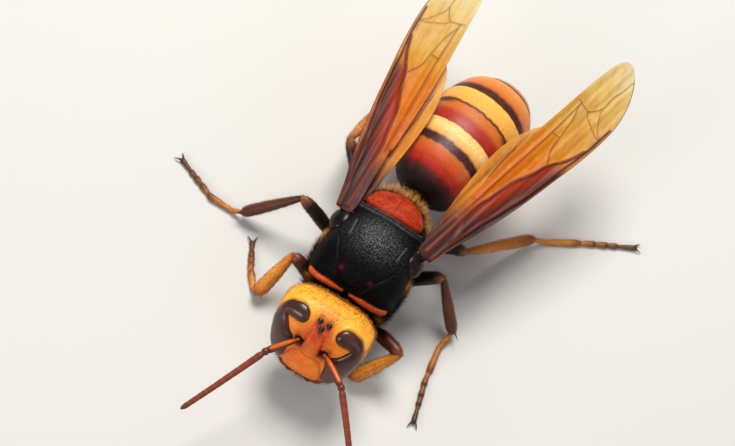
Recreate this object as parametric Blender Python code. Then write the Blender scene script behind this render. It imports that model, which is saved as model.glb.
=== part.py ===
"""Asian giant hornet worker, life size, standing as a museum model.

The head looks along -Y and +X is the hornet's left. Shapes are worked out in millimetres in the
body's own frame, whose floor is z = 0 and whose zero lies midway between the wing bases. The last
step moves everything so that the origin is under the middle of the whole animal.
"""

import math

import bmesh
import bpy
from mathutils import Matrix, Vector
from mathutils.geometry import delaunay_2d_cdt

MM = 0.001
GAP = 0.3
WELD = 0.002
ABOVE_ALL, BELOW_ALL = 20.0, -2.0

# Head: its centre, how far the face leans back, and stations along the face from chin to crown:
# height, half width, depth to the front, depth to the back.
HEAD_CENTRE = Vector((0.0, -11.6, 7.4))
FACE_LEAN = math.radians(17)
HEAD_STATIONS = [
    (-4.7, 2.2, 1.2, 0.6),
    (-4.2, 3.0, 1.8, 1.1),
    (-3.2, 3.9, 2.5, 1.5),
    (-1.6, 4.65, 3.0, 2.0),
    (0.0, 5.0, 2.95, 2.5),
    (1.5, 5.2, 2.7, 2.9),
    (2.8, 5.05, 2.3, 3.05),
    (3.7, 4.3, 1.75, 2.75),
    (4.3, 3.4, 1.15, 2.1),
    (4.6, 2.3, 0.65, 1.3),
]
HEAD_SIDES = 32
HEAD_RINGS = 15
FACE_POWER = 2.4
NAPE_POWER = 4.0

# Compound eye: its run over the head as places across and up the face, with the half width there.
EYE_RUN = [
    (2.3, 3.8, 0.65),
    (2.95, 3.85, 0.8),
    (3.65, 3.6, 0.8),
    (4.2, 3.15, 0.65),
    (4.5, 2.5, 0.55),
    (4.4, 1.7, 0.85),
    (4.0, 0.8, 1.3),
    (3.65, -0.3, 1.5),
    (3.5, -1.5, 1.25),
    (3.2, -2.5, 0.85),
]
EYE_RISE = 0.45
EYE_DEPTH = 0.75

OCELLI = [(0.0, 3.45), (-0.5, 4.0), (0.5, 4.0)]
OCELLUS_RADIUS = 0.28

CLYPEUS_HEIGHTS = (-4.5, 0.2)
CLYPEUS_HALF_WIDTH = 2.5
SOCKET = (1.45, 1.15)

# Jaw stations: across, up and out of the face, half width, half thickness; then its tip.
JAW_STATIONS = [
    (2.0, -3.3, -0.1, 0.6, 0.55),
    (2.05, -4.1, 0.3, 0.65, 0.6),
    (1.85, -4.75, 0.65, 0.65, 0.5),
    (1.25, -5.1, 0.8, 0.6, 0.42),
    (0.6, -5.2, 0.85, 0.42, 0.3),
]
JAW_TIP = (0.25, -5.15, 0.85)
SOCKET_RADIUS, SOCKET_LIFT = 0.75, 0.3

# Feelers: elbow and tip of each, in the body's frame.
SCAPE_ENDS = {"left": Vector((4.75, -16.2, 10.2)), "right": Vector((-3.6, -17.3, 10.6))}
FEELER_BENDS = {"left": Vector((8.2, -20.2, 9.2)), "right": Vector((-5.6, -21.6, 9.0))}
FEELER_TIPS = {"left": Vector((11.15, -23.6, 6.5)), "right": Vector((-7.85, -26.2, 7.5))}
FEELER_JOINTS = 10

# Thorax stations along the body: y, top, floor, height of the widest line, half width.
THORAX_STATIONS = [
    (-7.15, 8.3, 6.2, 7.2, 1.4),
    (-6.95, 9.1, 5.5, 7.2, 2.9),
    (-6.5, 9.9, 4.8, 7.3, 4.15),
    (-5.7, 10.9, 4.2, 7.5, 4.75),
    (-4.5, 11.8, 3.8, 7.7, 5.1),
    (-3.0, 12.4, 3.6, 7.9, 5.3),
    (-1.5, 12.75, 3.6, 8.1, 5.1),
    (0.0, 12.85, 3.6, 8.2, 4.85),
    (1.6, 12.75, 3.7, 8.2, 4.65),
    (3.2, 12.4, 3.9, 8.1, 4.35),
    (4.6, 11.9, 4.2, 7.9, 3.95),
    (5.7, 11.2, 4.5, 7.7, 3.5),
    (6.6, 9.9, 5.0, 7.5, 2.8),
    (7.2, 8.6, 5.8, 7.4, 1.7),
]
THORAX_SIDES = 32
THORAX_RINGS = 19
BACK_POWER = 2.2
BELLY_POWER = 2.3

# The shield between the shoulders, in plan, and how much its edge runs forward as it goes down.
SCUTUM_EDGE = [(0.0, -6.2), (1.2, -6.0), (1.95, -5.1), (2.8, -3.9), (3.5, -2.4), (4.05, -1.1)]
SHOULDER_SLOPE = 0.3
SHOULDER_HEIGHT = 9.0
SCUTELLUM_FRONT = [(0.0, 2.35), (1.6, 2.45), (3.0, 2.85), (3.7, 3.35)]
SCUTELLUM_REAR = [(3.6, 4.5), (2.6, 5.4), (1.3, 5.85), (0.0, 5.9)]
SCUTELLUM_DEPTH = 9.9
PROPODEUM_PLANE = (Vector((0.0, 5.9, 10.0)), Vector((0.0, -1.0, 0.42)))
COLLAR_RIM = [(0.65, -6.55), (1.8, -6.5), (3.0, -6.35), (4.2, -5.95)]
COLLAR_RADIUS = 0.4

TEGULA_CENTRES = {"left": Vector((4.75, -0.1, 10.3)), "right": Vector((-4.75, 0.2, 10.3))}
TEGULA_SIZE = Vector((0.85, 1.5, 0.9))

# Gaster stations along its curled middle line: distance, y, z, lean of the section in degrees,
# half width, height above the line, depth below it.
GASTER_STATIONS = [
    (0.0, 7.65, 7.3, -12, 0.6, 0.6, 0.6),
    (0.7, 8.3, 7.4, -10, 1.2, 1.2, 1.0),
    (1.3, 8.9, 7.7, -8, 2.3, 2.4, 2.0),
    (2.2, 9.8, 7.9, -5, 3.5, 3.7, 3.0),
    (3.6, 11.2, 8.2, -3, 4.45, 4.6, 3.7),
    (5.5, 13.1, 8.4, -1, 4.9, 4.9, 4.0),
    (7.6, 15.2, 8.55, 2, 5.25, 5.0, 4.2),
    (10.4, 18.0, 8.4, 6, 5.4, 5.05, 4.3),
    (13.2, 20.7, 7.9, 14, 5.25, 4.85, 4.2),
    (15.8, 23.0, 6.9, 30, 4.7, 4.2, 3.7),
    (18.2, 24.8, 5.6, 46, 3.8, 3.3, 3.0),
    (20.3, 26.2, 4.3, 56, 2.7, 2.3, 2.2),
    (22.0, 27.2, 3.1, 60, 1.4, 1.2, 1.2),
    (22.8, 27.7, 2.5, 60, 0.45, 0.4, 0.4),
]
GASTER_RIMS = [0.0, 7.6, 12.5, 15.8, 18.6, 21.0, 22.8]
GASTER_RINGS = [9, 6, 5, 4, 4, 4]
GASTER_SIDES = 32
GASTER_YAW = math.radians(-9.5)
GASTER_ROOT = Vector((0.45, 7.5, 0.0))
RIM_FLARE = 0.1

# Wings. Each outline and vein is given along the wing and outward from its middle line.
WING_THICKNESS = 0.5
VEIN_RISE = 0.22
VEIN_HALF = 0.28
FOREWING_OUTLINE = [
    (0.4, 0.7), (3.0, 1.25), (6.2, 2.0), (9.5, 2.5), (13.0, 2.9), (17.0, 3.2), (21.5, 3.5),
    (26.0, 3.4), (29.0, 2.7), (31.3, 1.5), (32.8, 0.1), (33.1, -0.9), (32.2, -1.7), (29.0, -2.05),
    (23.0, -2.1), (18.5, -2.1), (13.5, -1.85), (8.6, -1.5), (8.0, -1.2), (4.5, -1.1), (0.4, -0.7),
]
FOREWING_VEINS = [
    [(1.2, 0.45), (6.2, 1.1), (11.0, 1.75), (17.0, 2.35), (22.0, 2.95), (27.0, 2.85)],
    [(1.2, -0.2), (8.4, -0.1), (13.2, 0.4), (17.7, 1.4), (20.0, 2.2)],
    [(8.2, -0.8), (14.0, -0.9), (20.5, -0.95), (25.5, -1.2)],
    [(17.7, 1.4), (19.3, 0.35), (21.2, -0.05), (23.5, -0.6), (25.2, -1.3)],
    [(24.4, 2.6), (24.8, 0.9), (26.0, 0.3), (28.8, 0.7), (31.6, 0.6)],
]
HINDWING_OUTLINE = [
    (1.6, 0.0), (5.0, 0.6), (10.0, 1.1), (16.0, 1.2), (20.6, 0.6), (21.4, -0.6), (20.4, -2.0),
    (18.0, -2.9), (15.2, -3.3), (12.3, -3.15), (9.0, -2.6), (6.2, -2.0), (3.6, -1.5), (1.6, -0.9),
]
HINDWING_VEINS = [
    [(2.2, -0.4), (8.0, -0.6), (14.0, -0.4), (19.6, -0.4)],
    [(8.0, -0.6), (12.0, -1.8), (16.6, -2.3)],
]
HINDWING_DROP = 1.2
WING_ROOTS = {"left": Vector((4.8, 0.9, 10.5)), "right": Vector((-4.75, 0.8, 10.5))}
WING_TIPS = {"left": Vector((14.3, 32.9, 15.3)), "right": Vector((-6.4, 34.5, 15.3))}
FOREWING_ROLL, HINDWING_ROLL = 0.2, 0.34
HINDWING_CURL = 0.1

# Legs: root inside the chest, end of the coxa, knee, ankle, and the way of the foot to its claws.
LEGS = {
    "fore_left": [(1.6, -4.6, 5.2), (3.0, -5.2, 2.6), (8.2, -7.5, 5.5), (5.1, -10.65, 1.15),
                  (3.9, -10.4, 0.34), (1.2, -9.7, 0.31), (-1.0, -9.0, 0.28)],
    "fore_right": [(-1.6, -4.6, 5.2), (-3.0, -4.6, 2.6), (-7.03, -4.0, 5.4), (-8.4, -8.0, 1.15),
                   (-9.2, -7.3, 0.34), (-10.5, -5.6, 0.31), (-12.1, -2.5, 0.28)],
    "mid_left": [(2.2, 0.2, 4.8), (3.6, 0.8, 2.5), (7.9, 2.5, 6.4), (11.8, 0.1, 1.15),
                 (11.45, -1.9, 0.34), (12.0, -6.3, 0.31), (13.3, -11.6, 0.28)],
    "mid_right": [(-2.2, 0.2, 4.8), (-3.7, 1.2, 2.5), (-9.5, 1.9, 6.5), (-14.6, -0.7, 1.15),
                  (-15.9, -0.8, 0.34), (-18.5, -0.7, 0.31), (-24.0, 1.6, 0.28)],
    "hind_left": [(2.2, 4.6, 5.2), (3.6, 6.3, 2.9), (8.55, 7.8, 4.3), (14.3, 15.4, 1.15),
                  (15.6, 16.3, 0.34), (20.1, 19.2, 0.31), (25.5, 22.2, 0.28)],
    "hind_right": [(-2.2, 4.6, 5.2), (-3.6, 6.3, 2.9), (-8.75, 10.8, 7.2), (-8.35, 18.5, 1.15),
                   (-8.5, 20.0, 0.34), (-8.9, 24.0, 0.31), (-9.3, 29.0, 0.28)],
}
FEMUR_SHAPE = [
    (0.0, 0.36), (0.08, 0.5), (0.22, 0.6), (0.5, 0.76), (0.8, 0.7), (0.95, 0.56), (1.0, 0.34),
]
TIBIA_SHAPE = [
    (0.0, 0.24), (0.07, 0.36), (0.2, 0.44), (0.55, 0.6), (0.85, 0.64), (0.97, 0.52), (1.0, 0.3),
]
COXA_SHAPE = [(0.0, 1.2), (0.4, 1.1), (0.75, 0.9), (1.0, 0.5)]
FOOT_JOINTS = [0.0, 0.44, 0.58, 0.69, 0.78, 0.95]
FOOT_RADII = [0.38, 0.36, 0.36, 0.34, 0.3]
FOOT_FLAT = 0.12
CLAW_LENGTH = 0.75
LEG_SIDES = 10
THIGH_SIZES = {"fore": 1.0, "mid": 1.0, "hind": 1.0}
SHIN_SIZES = {"fore": 1.2, "mid": 1.0, "hind": 1.0}
FOOT_SIZES = {"fore": 1.05, "mid": 0.95, "hind": 1.0}
THIGH_BOW = 0.5
FEMUR_STEP = 0.45
SPURS = {"fore": 1, "mid": 2, "hind": 2}
SPUR_PLACE, SPUR_ASIDE, SPUR_LENGTH, SPUR_RADIUS = 0.92, 0.4, 1.3, 0.17
SPUR_FLOOR = 0.3

BLACK = (0.015, 0.012, 0.012)
COLOURS = {
    "head": (0.80, 0.36, 0.04),
    "eye": (0.07, 0.02, 0.012),
    "mandible": (0.42, 0.13, 0.02),
    "feeler": (0.25, 0.06, 0.02),
    "thorax": BLACK,
    "scutellum": (0.62, 0.10, 0.03),
    "tegula": (0.05, 0.03, 0.025),
    "gaster": (0.55, 0.22, 0.04),
    "wing": (0.45, 0.17, 0.03),
    "thigh": (0.02, 0.012, 0.01),
    "shin": (0.45, 0.2, 0.04),
    "foot": (0.38, 0.18, 0.05),
}
ROUGHNESS = {"eye": 0.12, "tegula": 0.2, "thorax": 0.5, "wing": 0.3}

for old in list(bpy.data.objects):
    bpy.data.objects.remove(old, do_unlink=True)


def finish_for(kind):
    """The one material of a kind of part, made on its first use."""
    material = bpy.data.materials.get(kind)
    if material:
        return material
    material = bpy.data.materials.new(kind)
    material.use_nodes = True
    shader = material.node_tree.nodes["Principled BSDF"]
    shader.inputs["Base Color"].default_value = (*COLOURS[kind], 1.0)
    shader.inputs["Roughness"].default_value = ROUGHNESS.get(kind, 0.35)
    shader.inputs["Metallic"].default_value = 0.0
    return material


def fair(table, place):
    """Values of a station table at any place, on smooth curves that never pass their stations."""
    keys = [row[0] for row in table]
    place = min(max(place, keys[0]), keys[-1])
    at = max(i for i in range(len(keys) - 1) if keys[i] <= place)
    step = keys[at + 1] - keys[at]
    t = (place - keys[at]) / step
    values = []
    for column in range(1, len(table[0])):
        start, end = table[at][column], table[at + 1][column]
        rise_start = station_slope(table, at, column) * step
        rise_end = station_slope(table, at + 1, column) * step
        values.append(
            start * (1 + 2 * t) * (1 - t) ** 2
            + rise_start * t * (1 - t) ** 2
            + end * t * t * (3 - 2 * t)
            + rise_end * t * t * (t - 1)
        )
    return values


def station_slope(table, at, column):
    """Slope of one column at a station: zero at a peak, else between its two sides' slopes."""
    def side(i):
        return (table[i + 1][column] - table[i][column]) / (table[i + 1][0] - table[i][0])

    if at == 0:
        return side(0)
    if at == len(table) - 1:
        return side(at - 1)
    before, after = side(at - 1), side(at)
    if before * after <= 0:
        return 0.0
    return 2 * before * after / (before + after)


def spaced(start, end, count):
    """Evenly spaced values from start to end."""
    return [start + (end - start) * i / (count - 1) for i in range(count)]


def signed_power(value, power):
    return math.copysign(abs(value) ** power, value)


def section(centre, side, up, half_width, rise, drop, count, top_power=2.0, low_power=2.0):
    """Ring of points round a centre: one rounded-square curve above it and another below."""
    points = []
    for i in range(count):
        angle = 2 * math.pi * (i + 0.5) / count
        power = 2 / (top_power if math.sin(angle) > 0 else low_power)
        reach = rise if math.sin(angle) > 0 else drop
        across = half_width * signed_power(math.cos(angle), power)
        height = reach * signed_power(math.sin(angle), power)
        points.append(centre + side * across + up * height)
    return points


def make_object(name, mesh, kind):
    """New object of a mesh, with the material of its kind."""
    data = bpy.data.meshes.new(name)
    bmesh.ops.recalc_face_normals(mesh, faces=mesh.faces[:])
    mesh.to_mesh(data)
    mesh.free()
    data.materials.append(finish_for(kind))
    piece = bpy.data.objects.new(name, data)
    bpy.context.scene.collection.objects.link(piece)
    return piece


def loft(name, rings, kind, start_tip=None, end_tip=None):
    """Closed body through rings of points, each end drawn together to a tip or its own middle."""
    mesh = bmesh.new()
    rows = [[mesh.verts.new(point) for point in ring] for ring in rings]
    count = len(rows[0])
    for row, following in zip(rows, rows[1:]):
        for i in range(count):
            j = (i + 1) % count
            mesh.faces.new((row[i], row[j], following[j], following[i]))
    for row, tip in ((rows[0], start_tip), (rows[-1], end_tip)):
        middle = sum((vert.co for vert in row), Vector()) / count
        centre = mesh.verts.new(tip if tip is not None else middle)
        for i in range(count):
            mesh.faces.new((row[i], row[(i + 1) % count], centre))
    return make_object(name, mesh, kind)


def tube_rings(path, radii, sides, flatten=1.0, up_hint=Vector((0, 0, 1))):
    """Rings round a path of points, square to it, flatten times as high as they are wide."""
    rings = []
    for i, (point, radius) in enumerate(zip(path, radii)):
        before = path[max(i - 1, 0)]
        after = path[min(i + 1, len(path) - 1)]
        along = (after - before).normalized()
        side = along.cross(up_hint)
        if side.length < 0.05:
            side = along.cross(Vector((0, 1, 0)))
        side.normalize()
        up = side.cross(along)
        rings.append(section(point, side, up, radius, radius * flatten, radius * flatten, sides))
    return rings


def largest_body(mesh):
    """Deletes all of a mesh but its largest closed surface."""
    left = set(mesh.faces)
    bodies = []
    while left:
        seed = left.pop()
        body, rim = {seed}, [seed]
        while rim:
            face = rim.pop()
            for edge in face.edges:
                for other in edge.link_faces:
                    if other not in body:
                        body.add(other)
                        left.discard(other)
                        rim.append(other)
        bodies.append(body)
    bodies.sort(key=lambda body: sum(face.calc_area() for face in body))
    scraps = [face for body in bodies[:-1] for face in body]
    bmesh.ops.delete(mesh, geom=scraps, context="FACES")


def boolean_mesh(body, group, operation, solver):
    """Mesh of a body joined or cut with a collection's objects."""
    modifier = body.modifiers.new("shape", "BOOLEAN")
    modifier.operation = operation
    modifier.solver = solver
    modifier.operand_type = "COLLECTION"
    modifier.collection = group
    bpy.context.view_layer.update()
    shaped = body.evaluated_get(bpy.context.evaluated_depsgraph_get())
    mesh = bmesh.new()
    mesh.from_mesh(shaped.to_mesh())
    shaped.to_mesh_clear()
    body.modifiers.remove(modifier)
    bmesh.ops.triangulate(mesh, faces=mesh.faces[:])
    welded = mesh.copy()
    bmesh.ops.remove_doubles(welded, verts=welded.verts[:], dist=WELD)
    largest_body(welded)
    if is_closed(welded):
        mesh.free()
        return welded
    welded.free()
    largest_body(mesh)
    return mesh


def is_closed(mesh):
    return len(mesh.faces) > 0 and all(len(edge.link_faces) == 2 for edge in mesh.edges)


def combine(body, others, operation):
    """Joins or cuts a body with other objects by one Boolean, and removes those objects."""
    group = bpy.data.collections.new(body.name + "_tools")
    bpy.context.scene.collection.children.link(group)
    for other in others:
        group.objects.link(other)
    mesh = boolean_mesh(body, group, operation, "EXACT")
    if not is_closed(mesh):
        mesh.free()
        mesh = boolean_mesh(body, group, operation, "MANIFOLD")
    mesh.to_mesh(body.data)
    mesh.free()
    for other in others:
        bpy.data.objects.remove(other, do_unlink=True)
    bpy.data.collections.remove(group)
    return body


def grown(piece, amount):
    """Copy of a piece whose surface stands off by an amount."""
    mesh = bmesh.new()
    mesh.from_mesh(piece.data)
    mesh.normal_update()
    moves = [vert.normal * amount for vert in mesh.verts]
    for vert, move in zip(mesh.verts, moves):
        vert.co += move
    data = bpy.data.meshes.new(piece.name + "_grown")
    mesh.to_mesh(data)
    mesh.free()
    copy = bpy.data.objects.new(piece.name + "_grown", data)
    bpy.context.scene.collection.objects.link(copy)
    return copy


def clear_of(body, *neighbours):
    """Cuts a body back so that it faces its neighbours across the gap."""
    return combine(body, [grown(piece, GAP) for piece in neighbours], "DIFFERENCE")


def fuse(body, *others):
    return combine(body, list(others), "UNION")


def cone(name, start, end, radius, sides=6, kind="shin"):
    """Tapered spike from a start to a fine end."""
    rings = tube_rings([start, start.lerp(end, 0.5), start.lerp(end, 0.9)],
                       [radius, radius * 0.7, radius * 0.35], sides)
    return loft(name, rings, kind, end_tip=end)


def ball(name, centre, size, kind, rings=7, sides=14):
    """Rounded body of given half sizes."""
    rows = []
    for angle in spaced(-math.pi / 2, math.pi / 2, rings + 2)[1:-1]:
        middle = centre + Vector((0, size.y * math.sin(angle), 0))
        wide = size.x * math.cos(angle)
        high = size.z * math.cos(angle)
        rows.append(section(middle, Vector((1, 0, 0)), Vector((0, 0, 1)), wide, high, high, sides))
    return loft(name, rows, kind, centre - Vector((0, size.y, 0)), centre + Vector((0, size.y, 0)))


def head_axes():
    """Directions across, up and out of the face."""
    up = Vector((0, math.sin(FACE_LEAN), math.cos(FACE_LEAN)))
    out = Vector((0, -math.cos(FACE_LEAN), math.sin(FACE_LEAN)))
    return Vector((1, 0, 0)), up, out


def face_point(across, height):
    """Point on the front of the head at a place across and up the face."""
    side, up, out = head_axes()
    half_width, front, _ = fair(HEAD_STATIONS, height)
    share = min(abs(across) / half_width, 0.999)
    depth = front * (1 - share ** FACE_POWER) ** (1 / FACE_POWER)
    return HEAD_CENTRE + side * across + up * height + out * depth


def face_normal(across, height):
    """Outward direction of the head's front at a place across and up the face."""
    step = 0.05
    right = face_point(across + step, height) - face_point(across - step, height)
    rise = face_point(across, height + step) - face_point(across, height - step)
    return rise.cross(right).normalized() * -1


def head_shell():
    side, up, out = head_axes()
    rings = []
    for height in spaced(HEAD_STATIONS[0][0], HEAD_STATIONS[-1][0], HEAD_RINGS):
        half_width, front, back = fair(HEAD_STATIONS, height)
        centre = HEAD_CENTRE + up * height
        rings.append(section(centre, side, out, half_width, front, back, HEAD_SIDES,
                             FACE_POWER, NAPE_POWER))
    return loft("head", rings, "head")


def clypeus():
    """Shield over the mouth: its outline widens from the brow and ends in two blunt lobes."""
    low, high = CLYPEUS_HEIGHTS
    outline = [(0.55, 1.0), (0.85, 0.8), (1.0, 0.45), (0.85, 0.15), (0.5, 0.0), (0.12, 0.06)]
    places = [(x, y) for x, y in outline] + [(-x, y) for x, y in reversed(outline)]
    inner, outer = [], []
    for across, share in places:
        x = across * CLYPEUS_HALF_WIDTH
        height = low + (high - low) * share
        surface, normal = face_point(x, height), face_normal(x, height)
        inner.append(surface - normal * 0.6)
        outer.append(surface + normal * 0.22)
    crown_height = (low + high) / 2
    crown = face_point(0, crown_height) + face_normal(0, crown_height) * 0.5
    return loft("clypeus", [inner, outer], "head", end_tip=crown)


def frontal_shield():
    """Low raised shield between the sockets."""
    rings = []
    for height, half_width in ((0.3, 0.35), (0.9, 0.55), (1.6, 0.8), (2.4, 0.7), (2.9, 0.3)):
        surface, normal = face_point(0, height), face_normal(0, height)
        rings.append(section(surface, Vector((1, 0, 0)), normal, half_width, 0.3, 0.5, 8))
    return loft("frontal_shield", rings, "head")


def eye(name, sign):
    """Bean-shaped eye swept along its run over the side of the face."""
    count = 12
    table = [(i, *row) for i, row in enumerate(EYE_RUN)]
    places = [fair(table, at) for at in spaced(0, len(EYE_RUN) - 1, count)]
    surface = [face_point(sign * across, height) for across, height, _ in places]
    rings = []
    for i, (across, height, half) in enumerate(places):
        along = (surface[min(i + 1, count - 1)] - surface[max(i - 1, 0)]).normalized()
        out = face_normal(sign * across, height)
        out = (out - along * out.dot(along)).normalized()
        side = along.cross(out)
        rings.append(section(surface[i], side, out, half, EYE_RISE, EYE_DEPTH, 12, 2.0, 2.4))
    first = surface[0] * 2 - surface[1]
    last = surface[-1] * 2 - surface[-2]
    start_tip = surface[0].lerp(first, 0.9)
    end_tip = surface[-1].lerp(last, 0.9)
    return loft(name, rings, "eye", start_tip, end_tip)


def mandible(name, sign):
    """Broad curved jaw that closes under the clypeus, with a blunt toothed end."""
    side, up, out = head_axes()
    path = [HEAD_CENTRE + side * (sign * x) + up * y + out * z for x, y, z, _, _ in JAW_STATIONS]
    rings = []
    for i, (point, row) in enumerate(zip(path, JAW_STATIONS)):
        along = (path[min(i + 1, len(path) - 1)] - path[max(i - 1, 0)]).normalized()
        across = along.cross(out).normalized()
        rings.append(section(point, across, across.cross(along), row[3], row[4], row[4], 10))
    tip_across, tip_height, tip_out = JAW_TIP
    tip = HEAD_CENTRE + side * (sign * tip_across) + up * tip_height + out * tip_out
    return loft(name, rings, "mandible", end_tip=tip)


def make_head():
    """Head with its clypeus, shield and ocelli, its eyes in pockets, and its two jaws."""
    head = head_shell()
    extras = [clypeus(), frontal_shield()]
    for across, height in OCELLI:
        surface = face_point(across, height)
        size = Vector((OCELLUS_RADIUS,) * 3)
        extras.append(ball("ocellus", surface, size, "head", rings=4, sides=8))
    fuse(head, *extras)
    eyes = [eye("eye_left", 1), eye("eye_right", -1)]
    sockets = []
    for sign in (1, -1):
        surface = face_point(sign * SOCKET[0], SOCKET[1])
        centre = surface + face_normal(sign * SOCKET[0], SOCKET[1]) * SOCKET_LIFT
        size = Vector((SOCKET_RADIUS,) * 3)
        sockets.append(ball("socket", centre, size, "head", rings=5, sides=12))
    combine(head, sockets, "DIFFERENCE")
    clear_of(head, *eyes)
    jaws = [mandible("mandible_left", 1), mandible("mandible_right", -1)]
    for jaw in jaws:
        clear_of(jaw, head)
    return head, eyes, jaws


def make_feeler(side_name, head):
    """Elbowed feeler: the long first joint with its pedicel, then the lash of ten joints."""
    sign = 1 if side_name == "left" else -1
    out = face_normal(sign * SOCKET[0], SOCKET[1])
    root = face_point(sign * SOCKET[0], SOCKET[1]) - out * 0.35
    elbow = SCAPE_ENDS[side_name]
    lash_end = FEELER_TIPS[side_name]
    bend = FEELER_BENDS[side_name]
    lash_way = (bend - elbow).normalized()
    before = elbow - (elbow - root).normalized() * 0.4
    after = elbow + lash_way * 0.3
    turn = before.lerp(elbow, 0.5).lerp(elbow.lerp(after, 0.5), 0.5)
    path = [root, root.lerp(elbow, 0.12), root.lerp(elbow, 0.2), root.lerp(elbow, 0.5),
            root.lerp(elbow, 0.8), before, turn, after, elbow + lash_way * 0.5]
    radii = [0.26, 0.28, 0.26, 0.35, 0.4, 0.37, 0.33, 0.28, 0.2]
    scape = loft("antenna_scape_" + side_name, tube_rings(path, radii, 10), "feeler")
    clear_of(scape, head)
    start = elbow + lash_way * (0.5 + GAP)
    ways, lash_radii = [], []
    for joint in range(FEELER_JOINTS):
        for share, swell in ((0.0, 0.86), (0.3, 1.0), (0.85, 1.0)):
            t = (joint + share) / FEELER_JOINTS
            ways.append(start.lerp(bend, t).lerp(bend.lerp(lash_end, t), t))
            lash_radii.append(swell * (0.36 - 0.1 * t))
    lash = loft("antenna_flagellum_" + side_name, tube_rings(ways, lash_radii, 8), "feeler",
                end_tip=lash_end)
    return scape, lash


def thorax_point(across, y):
    """Point on the top of the chest at a place in plan."""
    top, _, middle, half_width = fair(THORAX_STATIONS, y)
    share = min(abs(across) / half_width, 0.995)
    height = (top - middle) * (1 - share ** BACK_POWER) ** (1 / BACK_POWER)
    return Vector((across, y, middle + height))


def chest_shell(name):
    rings = []
    for y in spaced(THORAX_STATIONS[0][0], THORAX_STATIONS[-1][0], THORAX_RINGS):
        top, floor, middle, half_width = fair(THORAX_STATIONS, y)
        rings.append(section(Vector((0, y, middle)), Vector((1, 0, 0)), Vector((0, 0, 1)), half_width,
                             top - middle, middle - floor, THORAX_SIDES, BACK_POWER, BELLY_POWER))
    return loft(name, rings, "thorax")


def plan_block(name, outline, levels):
    """Upright block over a plan outline, through levels of a height and a shift along the body."""
    mesh = bmesh.new()
    rows = [[mesh.verts.new((x, y + shift, z)) for x, y in outline] for z, shift in levels]
    count = len(outline)
    for low, high in zip(rows, rows[1:]):
        for i in range(count):
            j = (i + 1) % count
            mesh.faces.new((low[i], low[j], high[j], high[i]))
    mesh.faces.new(rows[0])
    mesh.faces.new(list(reversed(rows[-1])))
    return make_object(name, mesh, "thorax")


def both_sides(half):
    """Outline from its right half, given from the middle line outward or back to it."""
    return [(-x, y) for x, y in reversed(half) if x > 0] + list(half)


def moved_out(half, amount):
    """The same run of plan points, each moved forward and outward by an amount."""
    moved = []
    for i, (x, y) in enumerate(half):
        before = half[max(i - 1, 0)]
        after = half[min(i + 1, len(half) - 1)]
        run = Vector((after[0] - before[0], after[1] - before[1])).normalized()
        moved.append((x + run.y * amount if x > 0 else 0.0, y - run.x * amount))
    return moved


def scutum_block(name, amount):
    """Block behind the shoulder suture, reaching back past the chest."""
    half = moved_out(SCUTUM_EDGE, amount)
    half = half + [(8.0, half[-1][1]), (8.0, 12.0)]
    foot_shift = -SHOULDER_SLOPE * (SHOULDER_HEIGHT - BELOW_ALL)
    levels = [(BELOW_ALL, foot_shift), (SHOULDER_HEIGHT, 0.0), (ABOVE_ALL, 0.0)]
    return plan_block(name, both_sides(half), levels)


def scutellum_block(name, amount):
    """Half-moon block whose foot stops inside the chest."""
    front = [(x, y - amount) for x, y in SCUTELLUM_FRONT]
    rear = [(x + (amount if x > 0 else 0.0), y + amount * 0.8) for x, y in SCUTELLUM_REAR]
    front[-1] = (front[-1][0] + amount, front[-1][1])
    half = front + rear
    outline = half + [(-x, y) for x, y in reversed(half) if x > 0]
    return plan_block(name, outline, [(SCUTELLUM_DEPTH - amount, 0.0), (ABOVE_ALL, 0.0)])


def plane_block(name, forward, shift):
    """Large block on one side of the plane between the chest and its last part."""
    point, normal = PROPODEUM_PLANE
    normal = normal.normalized()
    across = Vector((1, 0, 0))
    along = normal.cross(across)
    centre = point + normal * shift
    reach = 30.0
    depth = normal * (reach if forward else -reach)
    mesh = bmesh.new()
    corners = [centre + across * (a * reach) + along * (b * reach)
               for a, b in ((-1, -1), (1, -1), (1, 1), (-1, 1))]
    near = [mesh.verts.new(point) for point in corners]
    far = [mesh.verts.new(point + depth) for point in corners]
    for i in range(4):
        j = (i + 1) % 4
        mesh.faces.new((near[i], near[j], far[j], far[i]))
    mesh.faces.new(near)
    mesh.faces.new(list(reversed(far)))
    return make_object(name, mesh, "thorax")


def make_chest():
    """Chest parted at its real sutures, with the orange collar rim on the first part."""
    pronotum = chest_shell("pronotum")
    rims = []
    for sign in (1, -1):
        path = [thorax_point(sign * x, y) + Vector((0, 0, -0.08)) for x, y in COLLAR_RIM]
        radii = [COLLAR_RADIUS * share for share in (0.55, 1.0, 1.0, 0.5)]
        rims.append(loft("rim", tube_rings(path, radii, 8), "thorax"))
    neck_path = [Vector((0, -7.6, 7.3)), Vector((0, -6.4, 7.3))]
    neck = loft("neck", tube_rings(neck_path, [0.9, 1.3], 12), "thorax")
    fuse(pronotum, neck, *rims)
    combine(pronotum, [scutum_block("rear_part", GAP)], "DIFFERENCE")

    mesothorax = chest_shell("mesothorax")
    combine(mesothorax, [scutum_block("front_part", 0.0)], "INTERSECT")
    combine(mesothorax, [plane_block("last_part", False, GAP / 2)], "DIFFERENCE")
    combine(mesothorax, [scutellum_block("recess", GAP)], "DIFFERENCE")

    scutellum = chest_shell("scutellum")
    scutellum.data.materials[0] = finish_for("scutellum")
    combine(scutellum, [scutellum_block("half_moon", 0.0)], "INTERSECT")

    propodeum = chest_shell("propodeum")
    combine(propodeum, [plane_block("first_parts", True, -GAP / 2)], "DIFFERENCE")
    combine(propodeum, [scutellum_block("recess", GAP)], "DIFFERENCE")
    return pronotum, mesothorax, scutellum, propodeum


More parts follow.
